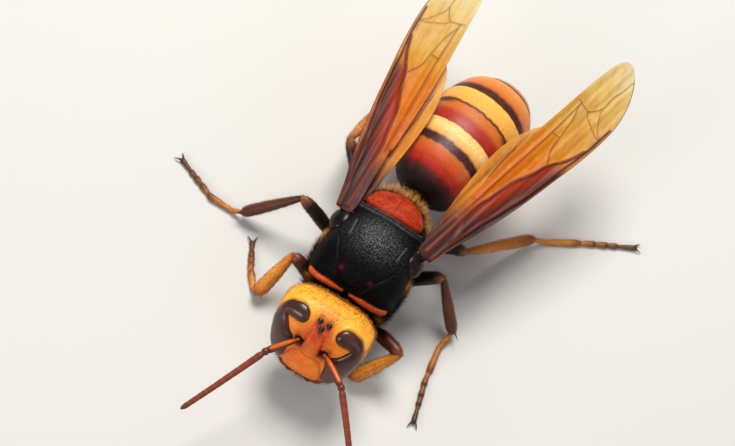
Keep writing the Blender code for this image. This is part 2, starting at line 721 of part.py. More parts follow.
def gaster_frame(place):
    """Middle, side, up, and sizes of the gaster's section at a distance along it."""
    y, z, lean, half_width, rise, drop = fair(GASTER_STATIONS, place)
    lean = math.radians(lean)
    turn = GASTER_YAW
    back = Vector((-math.sin(turn), math.cos(turn), 0))
    side = Vector((math.cos(turn), math.sin(turn), 0))
    run = y - GASTER_ROOT.y
    middle = GASTER_ROOT + back * run + Vector((0, 0, z))
    up = Vector((0, 0, math.cos(lean))) + back * math.sin(lean)
    return middle, side, up, half_width, rise, drop


def make_gaster():
    """Six ringed lengths, each with its hind rim a little proud of the next one's front."""
    lengths = []
    for number, count in enumerate(GASTER_RINGS):
        start = GASTER_RIMS[number] + (GAP / 2 if number else 0.0)
        end = GASTER_RIMS[number + 1] - (GAP / 2 if number < 5 else 0.0)
        rings = []
        for place in spaced(start, end, count):
            middle, side, up, half_width, rise, drop = gaster_frame(place)
            flare = RIM_FLARE * (place - start) / (end - start) if number < 5 else 0.0
            rings.append(section(middle, side, up, half_width + flare, rise + flare, drop + flare,
                                 GASTER_SIDES, 2.15, 2.3))
        lengths.append(loft(f"gaster_{number + 1}", rings, "gaster"))
    return lengths


def wing_place(side_name, along, across, height, drop, roll):
    """Point of a wing: along it from the root, outward, and off its surface."""
    sign = 1 if side_name == "left" else -1
    root, tip = WING_ROOTS[side_name], WING_TIPS[side_name]
    way = (tip - root).normalized()
    outward = way.cross(Vector((0, 0, 1))).normalized() * sign
    outward = (outward - Vector((0, 0, roll))).normalized()
    normal = outward.cross(way).normalized()
    normal = normal if normal.z > 0 else -normal
    curl = HINDWING_CURL * min(across + 1.0, 0.0) ** 2 if drop else 0.0
    return root + way * along + outward * across + normal * (height - drop + curl)


def vein_height(along, across, veins):
    """How far the membrane is raised at a place by the nearest vein."""
    here = Vector((along, across))
    nearest = min(distance_to_line(here, Vector(a), Vector(b))
                  for vein in veins for a, b in zip(vein, vein[1:]))
    return VEIN_RISE * max(0.0, 1 - nearest / VEIN_HALF)


def distance_to_line(point, start, end):
    run = end - start
    share = max(0.0, min(1.0, (point - start).dot(run) / run.dot(run)))
    return (point - start - run * share).length


def wing(name, side_name, outline, veins, drop, roll):
    """Membrane with its veins raised in its upper face, the same triangles on both faces."""
    points = [Vector(place) for place in outline]
    edges = [(i, (i + 1) % len(outline)) for i in range(len(outline))]
    for vein in veins:
        crest = [Vector(place) for place in vein]
        for shift in (-VEIN_HALF, 0.0, VEIN_HALF):
            first = len(points)
            for i, place in enumerate(crest):
                run = (crest[min(i + 1, len(crest) - 1)] - crest[max(i - 1, 0)]).normalized()
                points.append(place + Vector((-run.y, run.x)) * shift)
            edges += [(first + i, first + i + 1) for i in range(len(crest) - 1)]
    flat, _, faces, _, _, _ = delaunay_2d_cdt(points, edges, [], 1, 0.02)
    mesh = bmesh.new()
    half = WING_THICKNESS / 2
    upper, lower = [], []
    for place in flat:
        rise = vein_height(place.x, place.y, veins)
        top = wing_place(side_name, place.x, place.y, half + rise, drop, roll)
        upper.append(mesh.verts.new(top))
        lower.append(mesh.verts.new(wing_place(side_name, place.x, place.y, -half, drop, roll)))
    uses = {}
    for face in faces:
        mesh.faces.new([upper[i] for i in face])
        mesh.faces.new([lower[i] for i in reversed(face)])
        for a, b in zip(face, list(face[1:]) + [face[0]]):
            uses[(a, b)] = uses.get((a, b), 0) + 1
    for a, b in uses:
        if (b, a) not in uses:
            mesh.faces.new((upper[b], upper[a], lower[a], lower[b]))
    loose = [vert for vert in mesh.verts if not vert.link_faces]
    bmesh.ops.delete(mesh, geom=loose, context="VERTS")
    return make_object(name, mesh, "wing")


def limb(name, start, end, shape, kind, size, bow=Vector((0, 0, 0))):
    """Straight or bowed leg length with a given run of radii."""
    path, radii = [], []
    for share, radius in shape:
        path.append(start.lerp(end, share) + bow * math.sin(math.pi * share))
        radii.append(radius * size)
    return loft(name, tube_rings(path, radii, LEG_SIDES), kind)


def way_point(path, share):
    """Point at a share of the length of a path."""
    lengths = [(b - a).length for a, b in zip(path, path[1:])]
    left = share * sum(lengths)
    for start, length in zip(range(len(lengths)), lengths):
        if left <= length or start == len(lengths) - 1:
            return path[start].lerp(path[start + 1], left / length)
        left -= length
    return path[-1]


def foot(name, path, size):
    """Five-jointed foot that lies on small flats, with its pair of claws."""
    places, radii = [], []
    for start, end, radius in zip(FOOT_JOINTS, FOOT_JOINTS[1:], FOOT_RADII):
        for share, swell in ((0.0, 0.62), (0.25, 0.85), (0.9, 1.0)):
            at = start + (end - start) * share
            places.append(way_point(path, at))
            radii.append(radius * size * swell)
    rings = tube_rings(places, radii, 8)
    for ring in rings:
        for point in ring:
            point.z = point.z if point.z > FOOT_FLAT else 0.0
    body = loft(name, rings, "foot")
    toe = places[-1]
    ahead = (path[-1] - path[-2]).normalized()
    aside = ahead.cross(Vector((0, 0, 1))).normalized()
    claws = []
    for sign in (1, -1):
        end = toe + ahead * CLAW_LENGTH + aside * (sign * 0.55)
        end.z = 0.18
        claws.append(cone("claw", toe - ahead * 0.15, end, 0.19, 6, "foot"))
    return fuse(body, *claws)


def make_leg(leg_name, chest):
    """One leg: coxa, femur, tibia with its spurs, and foot, each cut clear of the one before."""
    root, hip, knee, ankle, *toes = [Vector(place) for place in LEGS[leg_name]]
    pair, side_name = leg_name.split("_")
    size, shin_size, foot_size = THIGH_SIZES[pair], SHIN_SIZES[pair], FOOT_SIZES[pair]
    name = side_name + "_" + pair + "_"
    coxa = limb("leg_" + name + "coxa", root, hip, COXA_SHAPE, "thigh", size)
    clear_of(coxa, *chest)
    rise = Vector((0, 0, THIGH_BOW))
    start = hip + (knee - hip).normalized() * FEMUR_STEP
    femur = limb("leg_" + name + "femur", start, knee, FEMUR_SHAPE, "thigh", size, rise)
    clear_of(femur, coxa)
    tibia = limb("leg_" + name + "tibia", knee, ankle, TIBIA_SHAPE, "shin", shin_size)
    clear_of(tibia, femur)
    foot_piece = foot("leg_" + name + "tarsus", [ankle] + toes, foot_size)
    clear_of(foot_piece, tibia)
    shank = (ankle - knee).normalized()
    spurs = []
    for i in range(SPURS[pair]):
        aside = shank.cross(toes[0] - ankle).normalized() * (1 - 2 * i)
        start = knee.lerp(ankle, SPUR_PLACE) + aside * SPUR_ASIDE * shin_size
        end = start + shank * SPUR_LENGTH + aside * 0.6
        end.z = max(end.z, SPUR_FLOOR)
        spurs.append(cone("spur", start, end, SPUR_RADIUS))
    fuse(tibia, *spurs)
    return coxa, femur, tibia, foot_piece


def settle():
    """Turns millimetres to metres and puts the origin under the middle of the whole animal."""
    pieces = list(bpy.context.scene.objects)
    corners = [vert.co for piece in pieces for vert in piece.data.vertices]
    low = [min(corner[axis] for corner in corners) for axis in range(3)]
    high = [max(corner[axis] for corner in corners) for axis in range(3)]
    middle = Vector(((low[0] + high[0]) / 2, (low[1] + high[1]) / 2, low[2]))
    for piece in pieces:
        piece.data.transform(Matrix.Scale(MM, 4))
        piece.location = middle * -MM


def build():
    head, eyes, jaws = make_head()
    for side_name in ("left", "right"):
        make_feeler(side_name, head)
    pronotum, mesothorax, scutellum, propodeum = make_chest()
    chest = (pronotum, mesothorax, propodeum)
    lengths = make_gaster()
    for side_name, centre in TEGULA_CENTRES.items():
        tegula = ball("tegula_" + side_name, centre, TEGULA_SIZE, "tegula", 7, 12)
        clear_of(tegula, pronotum, mesothorax)
        forewing = wing("forewing_" + side_name, side_name, FOREWING_OUTLINE, FOREWING_VEINS,
                        0.0, FOREWING_ROLL)
        clear_of(forewing, tegula, mesothorax, scutellum, pronotum)
        hindwing = wing("hindwing_" + side_name, side_name, HINDWING_OUTLINE, HINDWING_VEINS,
                        HINDWING_DROP, HINDWING_ROLL)
        clear_of(hindwing, tegula, mesothorax, scutellum, propodeum)
    for leg_name in LEGS:
        make_leg(leg_name, chest)
    for piece in bpy.context.scene.objects:
        piece.data.shade_smooth()
        piece.data.set_sharp_from_angle(angle=math.radians(40))
    settle()


build()
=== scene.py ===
import math

import bpy
import numpy as np
from mathutils import Matrix, Vector
from mathutils.geometry import delaunay_2d_cdt


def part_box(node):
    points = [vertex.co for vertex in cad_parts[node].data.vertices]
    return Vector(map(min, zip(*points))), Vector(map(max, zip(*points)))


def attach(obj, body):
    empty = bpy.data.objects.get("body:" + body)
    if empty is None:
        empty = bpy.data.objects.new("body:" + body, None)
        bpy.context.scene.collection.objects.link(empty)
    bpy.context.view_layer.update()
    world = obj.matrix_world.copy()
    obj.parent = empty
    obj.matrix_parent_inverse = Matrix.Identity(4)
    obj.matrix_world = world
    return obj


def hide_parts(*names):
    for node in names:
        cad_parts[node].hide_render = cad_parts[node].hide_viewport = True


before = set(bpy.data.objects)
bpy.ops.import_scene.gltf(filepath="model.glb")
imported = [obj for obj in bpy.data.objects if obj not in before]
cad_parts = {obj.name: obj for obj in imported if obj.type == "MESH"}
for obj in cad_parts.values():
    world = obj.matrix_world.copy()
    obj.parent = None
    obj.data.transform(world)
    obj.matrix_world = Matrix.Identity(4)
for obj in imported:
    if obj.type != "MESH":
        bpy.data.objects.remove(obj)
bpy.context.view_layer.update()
print("frame loaded")

# Shapes are worked out in millimetres of the hornet's own frame, head towards -Y, floor at z = 0.
# The chest is symmetric and the right feeler's tip is known, which places that frame in the model.
millimetre = 0.001
feelerReach = 26.2
chestLow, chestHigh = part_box("mesothorax")
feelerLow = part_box("antenna_flagellum_right")[0]
bodyPlace = np.array([(chestLow.x + chestHigh.x) / 2, feelerLow.y + feelerReach * millimetre, 0.0])
bodySides = (("left", 1), ("right", -1))


def toModel(points):
    return np.asarray(points, float) * millimetre + bodyPlace


def smoothTable(table, places):
    # monotone cubic through a table of stations, so that a profile has no waves between them
    keys = np.array([row[0] for row in table], float)
    values = np.array([row[1:] for row in table], float)
    step = np.diff(keys)
    slope = np.diff(values, axis=0) / step[:, None]
    before, after = slope[:-1], slope[1:]
    same = before * after > 0
    middle = np.where(same, 2 * before * after / np.where(same, before + after, 1), 0)
    tangent = np.vstack([slope[:1], middle, slope[-1:]])
    places = np.clip(np.asarray(places, float), keys[0], keys[-1])
    at = np.clip(np.searchsorted(keys, places, side="right") - 1, 0, len(step) - 1)
    width = step[at][:, None]
    t = ((places - keys[at]) / step[at])[:, None]
    return (values[at] * (1 + 2 * t) * (1 - t) ** 2 + tangent[at] * width * t * (1 - t) ** 2
            + values[at + 1] * t * t * (3 - 2 * t) + tangent[at + 1] * width * t * t * (t - 1))


def smoothStep(value, low, high):
    t = np.clip((value - low) / (high - low), 0, 1)
    return t * t * (3 - 2 * t)


def bell(distance, width):
    return np.exp(-((distance / width) ** 2))


def addUp(start, fields, table):
    # Adds soft ridges and steps to a start value. A row gives the amount, the kind, the measure,
    # two sizes and any masks: a bell has an offset and a width, a step a beginning and an end.
    for amount, kind, measure, first, second, *masks in table:
        values = fields[measure]
        part = bell(values + first, second) if kind == "bell" else smoothStep(values, first, second)
        for mask in masks:
            part = part * fields[mask]
        start = start + amount * part
    return start


def unit(vectors):
    return vectors / np.maximum(np.linalg.norm(vectors, axis=-1, keepdims=True), 1e-9)


def runAlong(*coordinates):
    # length of a line of points up to each of them
    return np.concatenate([[0], np.cumsum(np.sqrt(sum(np.diff(values) ** 2 for values in coordinates)))])


def pointsAlong(points, places):
    # points at the given distances along a line of points
    run = runAlong(*points.T)
    return np.stack([np.interp(places, run, values) for values in points.T], 1)


def smoothPath(points, count):
    # Catmull-Rom curve through the points, resampled to even steps
    points = np.asarray(points, float)
    ends = np.vstack([2 * points[0] - points[1], points, 2 * points[-1] - points[-2]])
    t = np.linspace(0, 1, 16, endpoint=False)[:, None]
    fine = []
    for a, b, c, d in zip(ends, ends[1:], ends[2:], ends[3:]):
        fine.append(0.5 * (2 * b + (c - a) * t + (2 * a - 5 * b + 4 * c - d) * t ** 2
                           + (3 * b - a - 3 * c + d) * t ** 3))
    fine = np.vstack(fine + [points[-1:]])
    return pointsAlong(fine, np.linspace(0, runAlong(*fine.T)[-1], count))


def distanceToPath(path, *places):
    # shortest distance from every place to a path of points, in the plane or in space
    path, points = np.asarray(path, float), np.stack(places, -1)
    nearest = np.full(points.shape[:-1], 1e9)
    for start, end in zip(path[:-1], path[1:]):
        way = end - start
        t = np.clip(((points - start) @ way) / max(way @ way, 1e-9), 0, 1)
        nearest = np.minimum(nearest, np.linalg.norm(points - start - way * t[..., None], axis=-1))
    return nearest


def signedDistance(outline, across, along):
    # distance to a closed outline, positive inside it
    outline = np.asarray(outline, float)
    closed = np.vstack([outline, outline[:1]])
    inside = np.zeros(across.shape, bool)
    for (ax, ay), (bx, by) in zip(closed[:-1], closed[1:]):
        crosses = (ay > along) != (by > along)
        reach = ax + (along - ay) * (bx - ax) / (by - ay if by != ay else 1e-9)
        inside ^= crosses & (across < reach)
    return np.where(inside, 1, -1) * distanceToPath(closed, across, along)


def gridNormals(rows):
    around = np.roll(rows, -1, 1) - np.roll(rows, 1, 1)
    normals = unit(np.cross(around, np.gradient(rows, axis=0)))
    outward = rows - rows.mean(1, keepdims=True)
    return normals * (1 if (normals * outward).sum() > 0 else -1)


def addMarks(mesh, marks):
    for name, values in marks.items():
        values = np.asarray(values, float)
        kind = "FLOAT_VECTOR" if values.ndim == 2 else "FLOAT"
        layer = mesh.attributes.new(name, kind, "POINT")
        layer.data.foreach_set("vector" if values.ndim == 2 else "value", values.ravel())


def newObject(name, mesh, material):
    mesh.materials.append(material)
    made = bpy.data.objects.new(name, mesh)
    bpy.context.scene.collection.objects.link(made)
    return made


def skinPiece(name, rows, material, marks=None):
    # closed skin through rings of points, with its own unwrap: round the ring, and along the rings
    rowCount, columnCount = rows.shape[:2]
    normals = np.cross(np.roll(rows, -1, 1) - rows, np.gradient(rows, axis=0))
    outward = ((rows - rows.mean(1, keepdims=True)) * normals).sum() > 0
    points = np.vstack([rows.reshape(-1, 3), rows[0].mean(0), rows[-1].mean(0)])
    i, j = (grid.ravel() for grid in np.meshgrid(np.arange(rowCount - 1), np.arange(columnCount), indexing="ij"))
    after = (j + 1) % columnCount
    quads = np.stack([i * columnCount + j, i * columnCount + after,
                      (i + 1) * columnCount + after, (i + 1) * columnCount + j], 1)
    u = np.stack([j, j + 1, j + 1, j], 1) / columnCount
    v = np.stack([i, i, i + 1, i + 1], 1) / (rowCount - 1)
    ring = np.arange(columnCount)
    following = (ring + 1) % columnCount
    pole = np.full(columnCount, rowCount * columnCount)
    lastRing = (rowCount - 1) * columnCount
    low = np.stack([pole, following, ring], 1)
    high = np.stack([pole + 1, ring + lastRing, following + lastRing], 1)
    if not outward:
        quads, u, v, low, high = (values[:, ::-1] for values in (quads, u, v, low, high))
    mesh = bpy.data.meshes.new(name)
    mesh.from_pydata(toModel(points).tolist(), [], quads.tolist() + low.tolist() + high.tolist())
    capU = np.stack([ring + 0.5, ring + 1, ring], 1) / columnCount
    caps = [np.stack([capU, np.full_like(capU, level)], 2).reshape(-1, 2) for level in (0, 1)]
    places = np.vstack([np.stack([u, v], 2).reshape(-1, 2)] + caps)
    mesh.uv_layers.new(name="skinMap").data.foreach_set("uv", places.ravel())
    flat = {}
    for key, values in (marks or {}).items():
        values = np.asarray(values, float)
        table = values.reshape(rowCount, columnCount, -1)
        ends = np.vstack([table.reshape(rowCount * columnCount, -1), table[0].mean(0), table[-1].mean(0)])
        flat[key] = ends if values.ndim == 3 else ends[:, 0]
    addMarks(mesh, flat)
    mesh.shade_smooth()
    return newObject(name, mesh, material)


def joinPieces(name, parts):
    # several closed skins become one piece, their unwraps side by side in strips
    bpy.ops.object.select_all(action="DESELECT")
    for number, part in enumerate(parts):
        layer = part.data.uv_layers["skinMap"]
        places = np.empty(len(layer.data) * 2)
        layer.data.foreach_get("uv", places)
        places[0::2] = (number + 0.02 + places[0::2] * 0.96) / len(parts)
        layer.data.foreach_set("uv", places)
        part.select_set(True)
    bpy.context.view_layer.objects.active = parts[0]
    bpy.ops.object.join()
    parts[0].name = parts[0].data.name = name
    return parts[0]


def finishPiece(piece, slotName, *nodes):
    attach(piece, "root")
    if nodes:
        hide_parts(*nodes)
    return piece


def paint(red, green, blue):
    # a colour given as on a screen, turned to linear light
    values = [channel / 255 for channel in (red, green, blue)]
    return tuple(v / 12.92 if v <= 0.04045 else ((v + 0.055) / 1.055) ** 2.4 for v in values) + (1.0,)


def addNode(tree, kind, inputs=None, **settings):
    made = tree.nodes.new(kind)
    for key, value in settings.items():
        setattr(made, key, value)
    for key, value in (inputs or {}).items():
        socket = made.inputs[key]
        if isinstance(value, bpy.types.NodeSocket):
            tree.links.new(value, socket)
        else:
            socket.default_value = value
    return made


def newPaint(name, roughness=0.5, specular=0.5, coat=0.0, coatRoughness=0.03):
    material = bpy.data.materials.new(name)
    material.use_nodes = True
    tree = material.node_tree
    shader = tree.nodes["Principled BSDF"]
    settings = {"Roughness": roughness, "Specular IOR Level": specular, "Coat Weight": coat,
                "Coat Roughness": coatRoughness}
    for key, value in settings.items():
        shader.inputs[key].default_value = value
    return material, tree, shader


def colourRamp(tree, value, *stops):
    # each stop is a place and a screen colour, or a place and one plain amount
    made = addNode(tree, "ShaderNodeValToRGB", {0: value})
    elements = made.color_ramp.elements
    elements.remove(elements[-1])
    for number, (place, *colour) in enumerate(stops):
        element = elements.new(place) if number else elements[0]
        element.position = place
        element.color = paint(*colour) if len(colour) == 3 else colour * 3 + [1]
    return made.outputs[0]


def markOf(tree, name):
    return addNode(tree, "ShaderNodeAttribute", attribute_name=name).outputs["Fac"]


def maths(tree, operation, first, second=0.0, third=0.0, clamp=False):
    return addNode(tree, "ShaderNodeMath", {0: first, 1: second, 2: third},
                   operation=operation, use_clamp=clamp).outputs[0]


def layOver(tree, under, share, strength, top, offset=None):
    # lays a colour over another where a mark or a value says so, as strongly as given
    if isinstance(share, str):
        share = markOf(tree, share)
    if offset is not None:
        share = maths(tree, "MULTIPLY_ADD", share, strength, offset, True)
    elif strength != 1:
        share = maths(tree, "MULTIPLY", share, strength)
    under, top = (paint(*colour) if isinstance(colour, tuple) else colour for colour in (under, top))
    return addNode(tree, "ShaderNodeMix", {0: share, 6: under, 7: top},
                   data_type="RGBA", clamp_factor=True).outputs[2]


def objectPlace(tree):
    return addNode(tree, "ShaderNodeTexCoord").outputs["Object"]


def noiseOf(tree, perMillimetre, detail=3.0, roughness=0.55, stretch=(1, 1, 1)):
    scaled = addNode(tree, "ShaderNodeMapping", {"Vector": objectPlace(tree), "Scale": stretch})
    return addNode(tree, "ShaderNodeTexNoise", {"Vector": scaled.outputs[0], "Scale": perMillimetre * 1000,
                                               "Detail": detail, "Roughness": roughness}).outputs[0]


def cellsOf(tree, perMillimetre):
    return addNode(tree, "ShaderNodeTexVoronoi", {
        "Vector": objectPlace(tree), "Scale": perMillimetre * 1000}).outputs[0]


def pitsOf(tree, perMillimetre):
    # round punctures: 0 in the middle of each, 1 between them
    return colourRamp(tree, cellsOf(tree, perMillimetre), (0.12, 0), (0.42, 1))


def wear(tree, shader, colour, *reliefs):
    # gives the shader its colour, and bumps one on another, each a height, a depth in millimetres and a strength
    tree.links.new(colour, shader.inputs["Base Color"])
    for height, depth, strength in reliefs:
        bump = addNode(tree, "ShaderNodeBump", {"Height": height, "Distance": depth * millimetre, "Strength": strength})
        if shader.inputs["Normal"].is_linked:
            tree.links.new(shader.inputs["Normal"].links[0].from_socket, bump.inputs["Normal"])
        tree.links.new(bump.outputs[0], shader.inputs["Normal"])


headShape = {
    "centre": (0.0, -11.6, 7.4),
    "leanDegrees": 17,
    "rows": 200,
    "halfColumns": 132,
    "profileSteps": 1500,
    "sectionSteps": 801,
    # height up the face, half width, depth to the front, depth to the back
    "stations": [(-4.95, 0.02, 0.02, 0.02), (-4.9, 1.1, 0.62, 0.32), (-4.7, 2.2, 1.2, 0.6),
                 (-4.2, 3.0, 1.8, 1.1), (-3.2, 3.9, 2.5, 1.5), (-1.6, 4.65, 3.0, 2.0),
                 (0.0, 5.0, 2.95, 2.5), (1.5, 5.2, 2.7, 2.9), (2.8, 5.05, 2.3, 3.05),
                 (3.7, 4.3, 1.75, 2.75), (4.3, 3.4, 1.15, 2.1), (4.6, 2.3, 0.65, 1.3),
                 (4.74, 1.2, 0.34, 0.68), (4.78, 0.02, 0.02, 0.02)],
    "facePower": 2.4,
    "napePower": 4.0,
    # edge of the left eye: across, up the face, and how much further round the head
    "eyeEdge": [(1.66, 3.6, 0), (1.85, 4.05, 0), (2.35, 4.3, 0), (3.0, 4.27, 0), (3.59, 4.05, 0), (4.0, 3.7, 0.3),
                (4.2, 3.2, 0.62), (4.52, 2.5, 0.55), (4.42, 1.75, 0.9), (4.0, 0.8, 1.4), (3.65, -0.3, 1.55),
                (3.5, -1.5, 1.3), (3.2, -2.5, 0.9), (2.85, -3.15, 0.3), (2.5, -2.7, 0), (2.3, -1.5, 0), (2.25, -0.3, 0),
                (2.05, 0.5, 0), (2.25, 1.15, 0), (2.9, 1.55, 0), (3.3, 2.05, 0), (3.72, 2.66, 0), (3.62, 2.82, 0),
                (3.05, 2.92, 0), (2.4, 3.0, 0), (1.9, 3.18, 0)],
    "eyeRise": 0.42,
    "eyeSunk": 0.06,
    "eyeRolled": 0.95,
    "eyeSpacing": 0.15,
    "eyeInsets": (0.02, 0.06, 0.13, 0.24),
    "ocelli": [(0.0, 3.5), (-0.53, 4.03), (0.53, 4.03)],
    "ocellusRadius": 0.29,
    "ocellusHeight": 0.24,
    "socket": (1.45, 1.12),
    # along the jaw, then its place across, up and out, and its half width and height
    "jaw": [(0.0, 2.0, -3.3, -0.1, 0.75, 0.55), (0.8, 2.05, -4.1, 0.3, 0.85, 0.52),
            (1.55, 1.85, -4.75, 0.65, 0.86, 0.42), (2.2, 1.25, -5.1, 0.8, 0.74, 0.34),
            (2.8, 0.6, -5.2, 0.85, 0.52, 0.24), (3.15, 0.28, -5.15, 0.85, 0.16, 0.1)],
    "jawRows": 46,
    "jawSides": 28,
    # right halves of the raised plates, from the middle line outward and back to it
    "clypeus": [(0.0, 0.22), (0.9, 0.2), (1.5, -0.1), (1.85, -0.8), (2.1, -1.6), (2.25, -2.4),
                (2.2, -3.2), (1.8, -3.95), (0.95, -4.45), (0.35, -4.35), (0.0, -4.2)],
    "shield": [(0.0, 0.3), (0.5, 0.34), (0.98, 0.62), (1.1, 1.0), (0.92, 1.5), (0.85, 2.2), (0.7, 3.0), (0.0, 3.3)],
    # what the relief, the markings and the painted shade are made of, as rows for addUp
    "relief": [
        (0.12, "step", "clypeus", -0.02, 0.25), (0.16, "step", "clypeus", 0.1, 1.8),
        (-0.08, "bell", "clypeus", 0, 0.1, "front"), (0.46, "step", "shield", -0.03, 0.2, "lowShield"),
        (-0.12, "bell", "shield", 0.08, 0.1, "lowShield"), (-0.45, "bell", "socket", 0, 0.42, "front"),
        (0.06, "bell", "socket", -0.68, 0.14, "front"), (0.1, "bell", "eyeNotch", 0, 0.7, "besideEye"),
        (-0.16, "step", "eye", -0.04, 0.12), (0.05, "bell", "eye", 0.16, 0.1), (-0.05, "bell", "eye", 0, 0.06),
        (-0.05, "bell", "ocellus", -0.31, 0.07, "front"), (-0.35, "bell", "nape", 0, 1.7, "behind")],
    "frontRed": [(1, "bell", "brow", 0, 1.2), (0.35, "bell", "midFace", 0, 1.5), (0.7, "bell", "socket", 0, 0.9),
                 (-0.45, "step", "side", 1.9, 2.8, "aboveSockets")],
    # darker ground round the ocelli, and painted shade in and beside the sockets, under the shield's edge, in the
    # grooves round the clypeus and the eyes, under the head and round the nape
    "darkAndPaintedShade": [
        (1.05, "bell", "socket", 0, 0.56), (0.55, "bell", "ocellus", -0.15, 0.28),
        (0.35, "bell", "belowOcelli", 0, 0.7), (0.45, "bell", "clypeus", 0.03, 0.08, "lowHalf"),
        (0.5, "bell", "shield", 0.06, 0.08, "underBrow"), (0.35, "bell", "besideSocket", 0, 0.42),
        (0.3, "bell", "eye", 0.05, 0.07), (0.75, "step", "drop", 3.7, 4.7), (1, "bell", "nape", 0, 1.5, "behind")],
    "hairAmount": [(-0.5, "step", "depth", -0.6, 0.2), (0.3, "step", "height", 3.6, 4.3),
                   (0.5, "step", "drop", 1.8, 3.6)],
    "hairLength": [(0.12, "step", "height", 3.4, 4.3), (0.55, "step", "drop", 2.8, 4.2),
                   (-0.25, "step", "depth", -1.6, -0.9)],
}


def headAxes():
    lean = math.radians(headShape["leanDegrees"])
    up = np.array([0, math.sin(lean), math.cos(lean)])
    out = np.array([0, -math.cos(lean), math.sin(lean)])
    return np.array([1.0, 0, 0]), up, out


def headTables():
    # half sections from the middle of the face round to the nape, in even steps, and their lengths
    stations = headShape["stations"]
    fine = np.linspace(stations[0][0], stations[-1][0], headShape["profileSteps"])
    profile = smoothTable(stations, fine)
    steps = np.hypot(np.diff(fine), np.diff(profile[:, 0])) + 0.3 * np.abs(np.diff(profile[:, 1]))
    run = np.concatenate([[0], np.cumsum(steps)])
    heights = np.interp(np.linspace(0, run[-1], headShape["rows"]), run, fine)
    angles = np.linspace(math.pi / 2, -math.pi / 2, headShape["sectionSteps"])
    sine, cosine = np.sin(angles), np.cos(angles)
    power = np.where(sine > 0, headShape["facePower"], headShape["napePower"])
    share = np.linspace(0, 1, headShape["halfColumns"])
    sections, lengths = [], []
    for half, front, back in smoothTable(stations, heights):
        x = half * np.abs(cosine) ** (2 / power)
        y = np.where(sine > 0, front, -back) * np.abs(sine) ** (2 / power)
        lengths.append(runAlong(x, y)[-1])
        sections.append(pointsAlong(np.stack([x, y], 1), share * lengths[-1]))
    sections = np.array(sections)
    return heights, share, sections[..., 0], sections[..., 1], np.array(lengths)


headHeights, headShares, headAcross, headDepth, headLengths = headTables()
headSide, headUp, headOut = headAxes()
headCentre = np.array(headShape["centre"])


def faceRun(across, height):
    # distance from the middle of the face, over the surface, to a place given across it
    row = int(np.argmin(np.abs(headHeights - height)))
    front = headDepth[row] > 0
    run = headShares * headLengths[row]
    return math.copysign(float(np.interp(abs(across), headAcross[row][front], run[front])), across)


def headSpace(across, height, depth):
    return headCentre + across[..., None] * headSide + height[..., None] * headUp + depth[..., None] * headOut


def headPoints(run, height):
    # points of the head for places given as distance over the surface from the middle line, and height
    run, height = np.asarray(run, float), np.asarray(height, float)
    at = np.clip(np.interp(height, headHeights, np.arange(len(headHeights))), 0, len(headHeights) - 1.001)
    row = at.astype(int)
    t = at - row
    length = headLengths[row] * (1 - t) + headLengths[row + 1] * t
    column = np.clip(np.abs(run) / length * (len(headShares) - 1), 0, len(headShares) - 1.001)
    c = column.astype(int)
    s = column - c

    def sample(table):
        near = table[row, c] * (1 - s) + table[row, c + 1] * s
        far = table[row + 1, c] * (1 - s) + table[row + 1, c + 1] * s
        return near * (1 - t) + far * t

    return headSpace(sample(headAcross) * np.where(run < 0, -1, 1), height, sample(headDepth))


def headOutward(run, height):
    step = 0.04
    right = headPoints(run + step, height) - headPoints(run - step, height)
    rise = headPoints(run, height + step) - headPoints(run, height - step)
    normal = unit(np.cross(right, rise))
    middle = headPoints(run, height) - headCentre
    return normal * np.where((normal * middle).sum(-1, keepdims=True) > 0, 1, -1)


def mirrorHalf(half):
    return np.array([(-x, y) for x, y in reversed(half) if x > 0] + list(half))


eyePlaces = [(faceRun(across, height) + further, height) for across, height, further in headShape["eyeEdge"]]
eyeEdge = smoothPath(eyePlaces + eyePlaces[:1], 150)[:-1]
clypeusEdge, shieldEdge = (mirrorHalf([(faceRun(x, y) if x else 0.0, y) for x, y in headShape[key]])
                           for key in ("clypeus", "shield"))


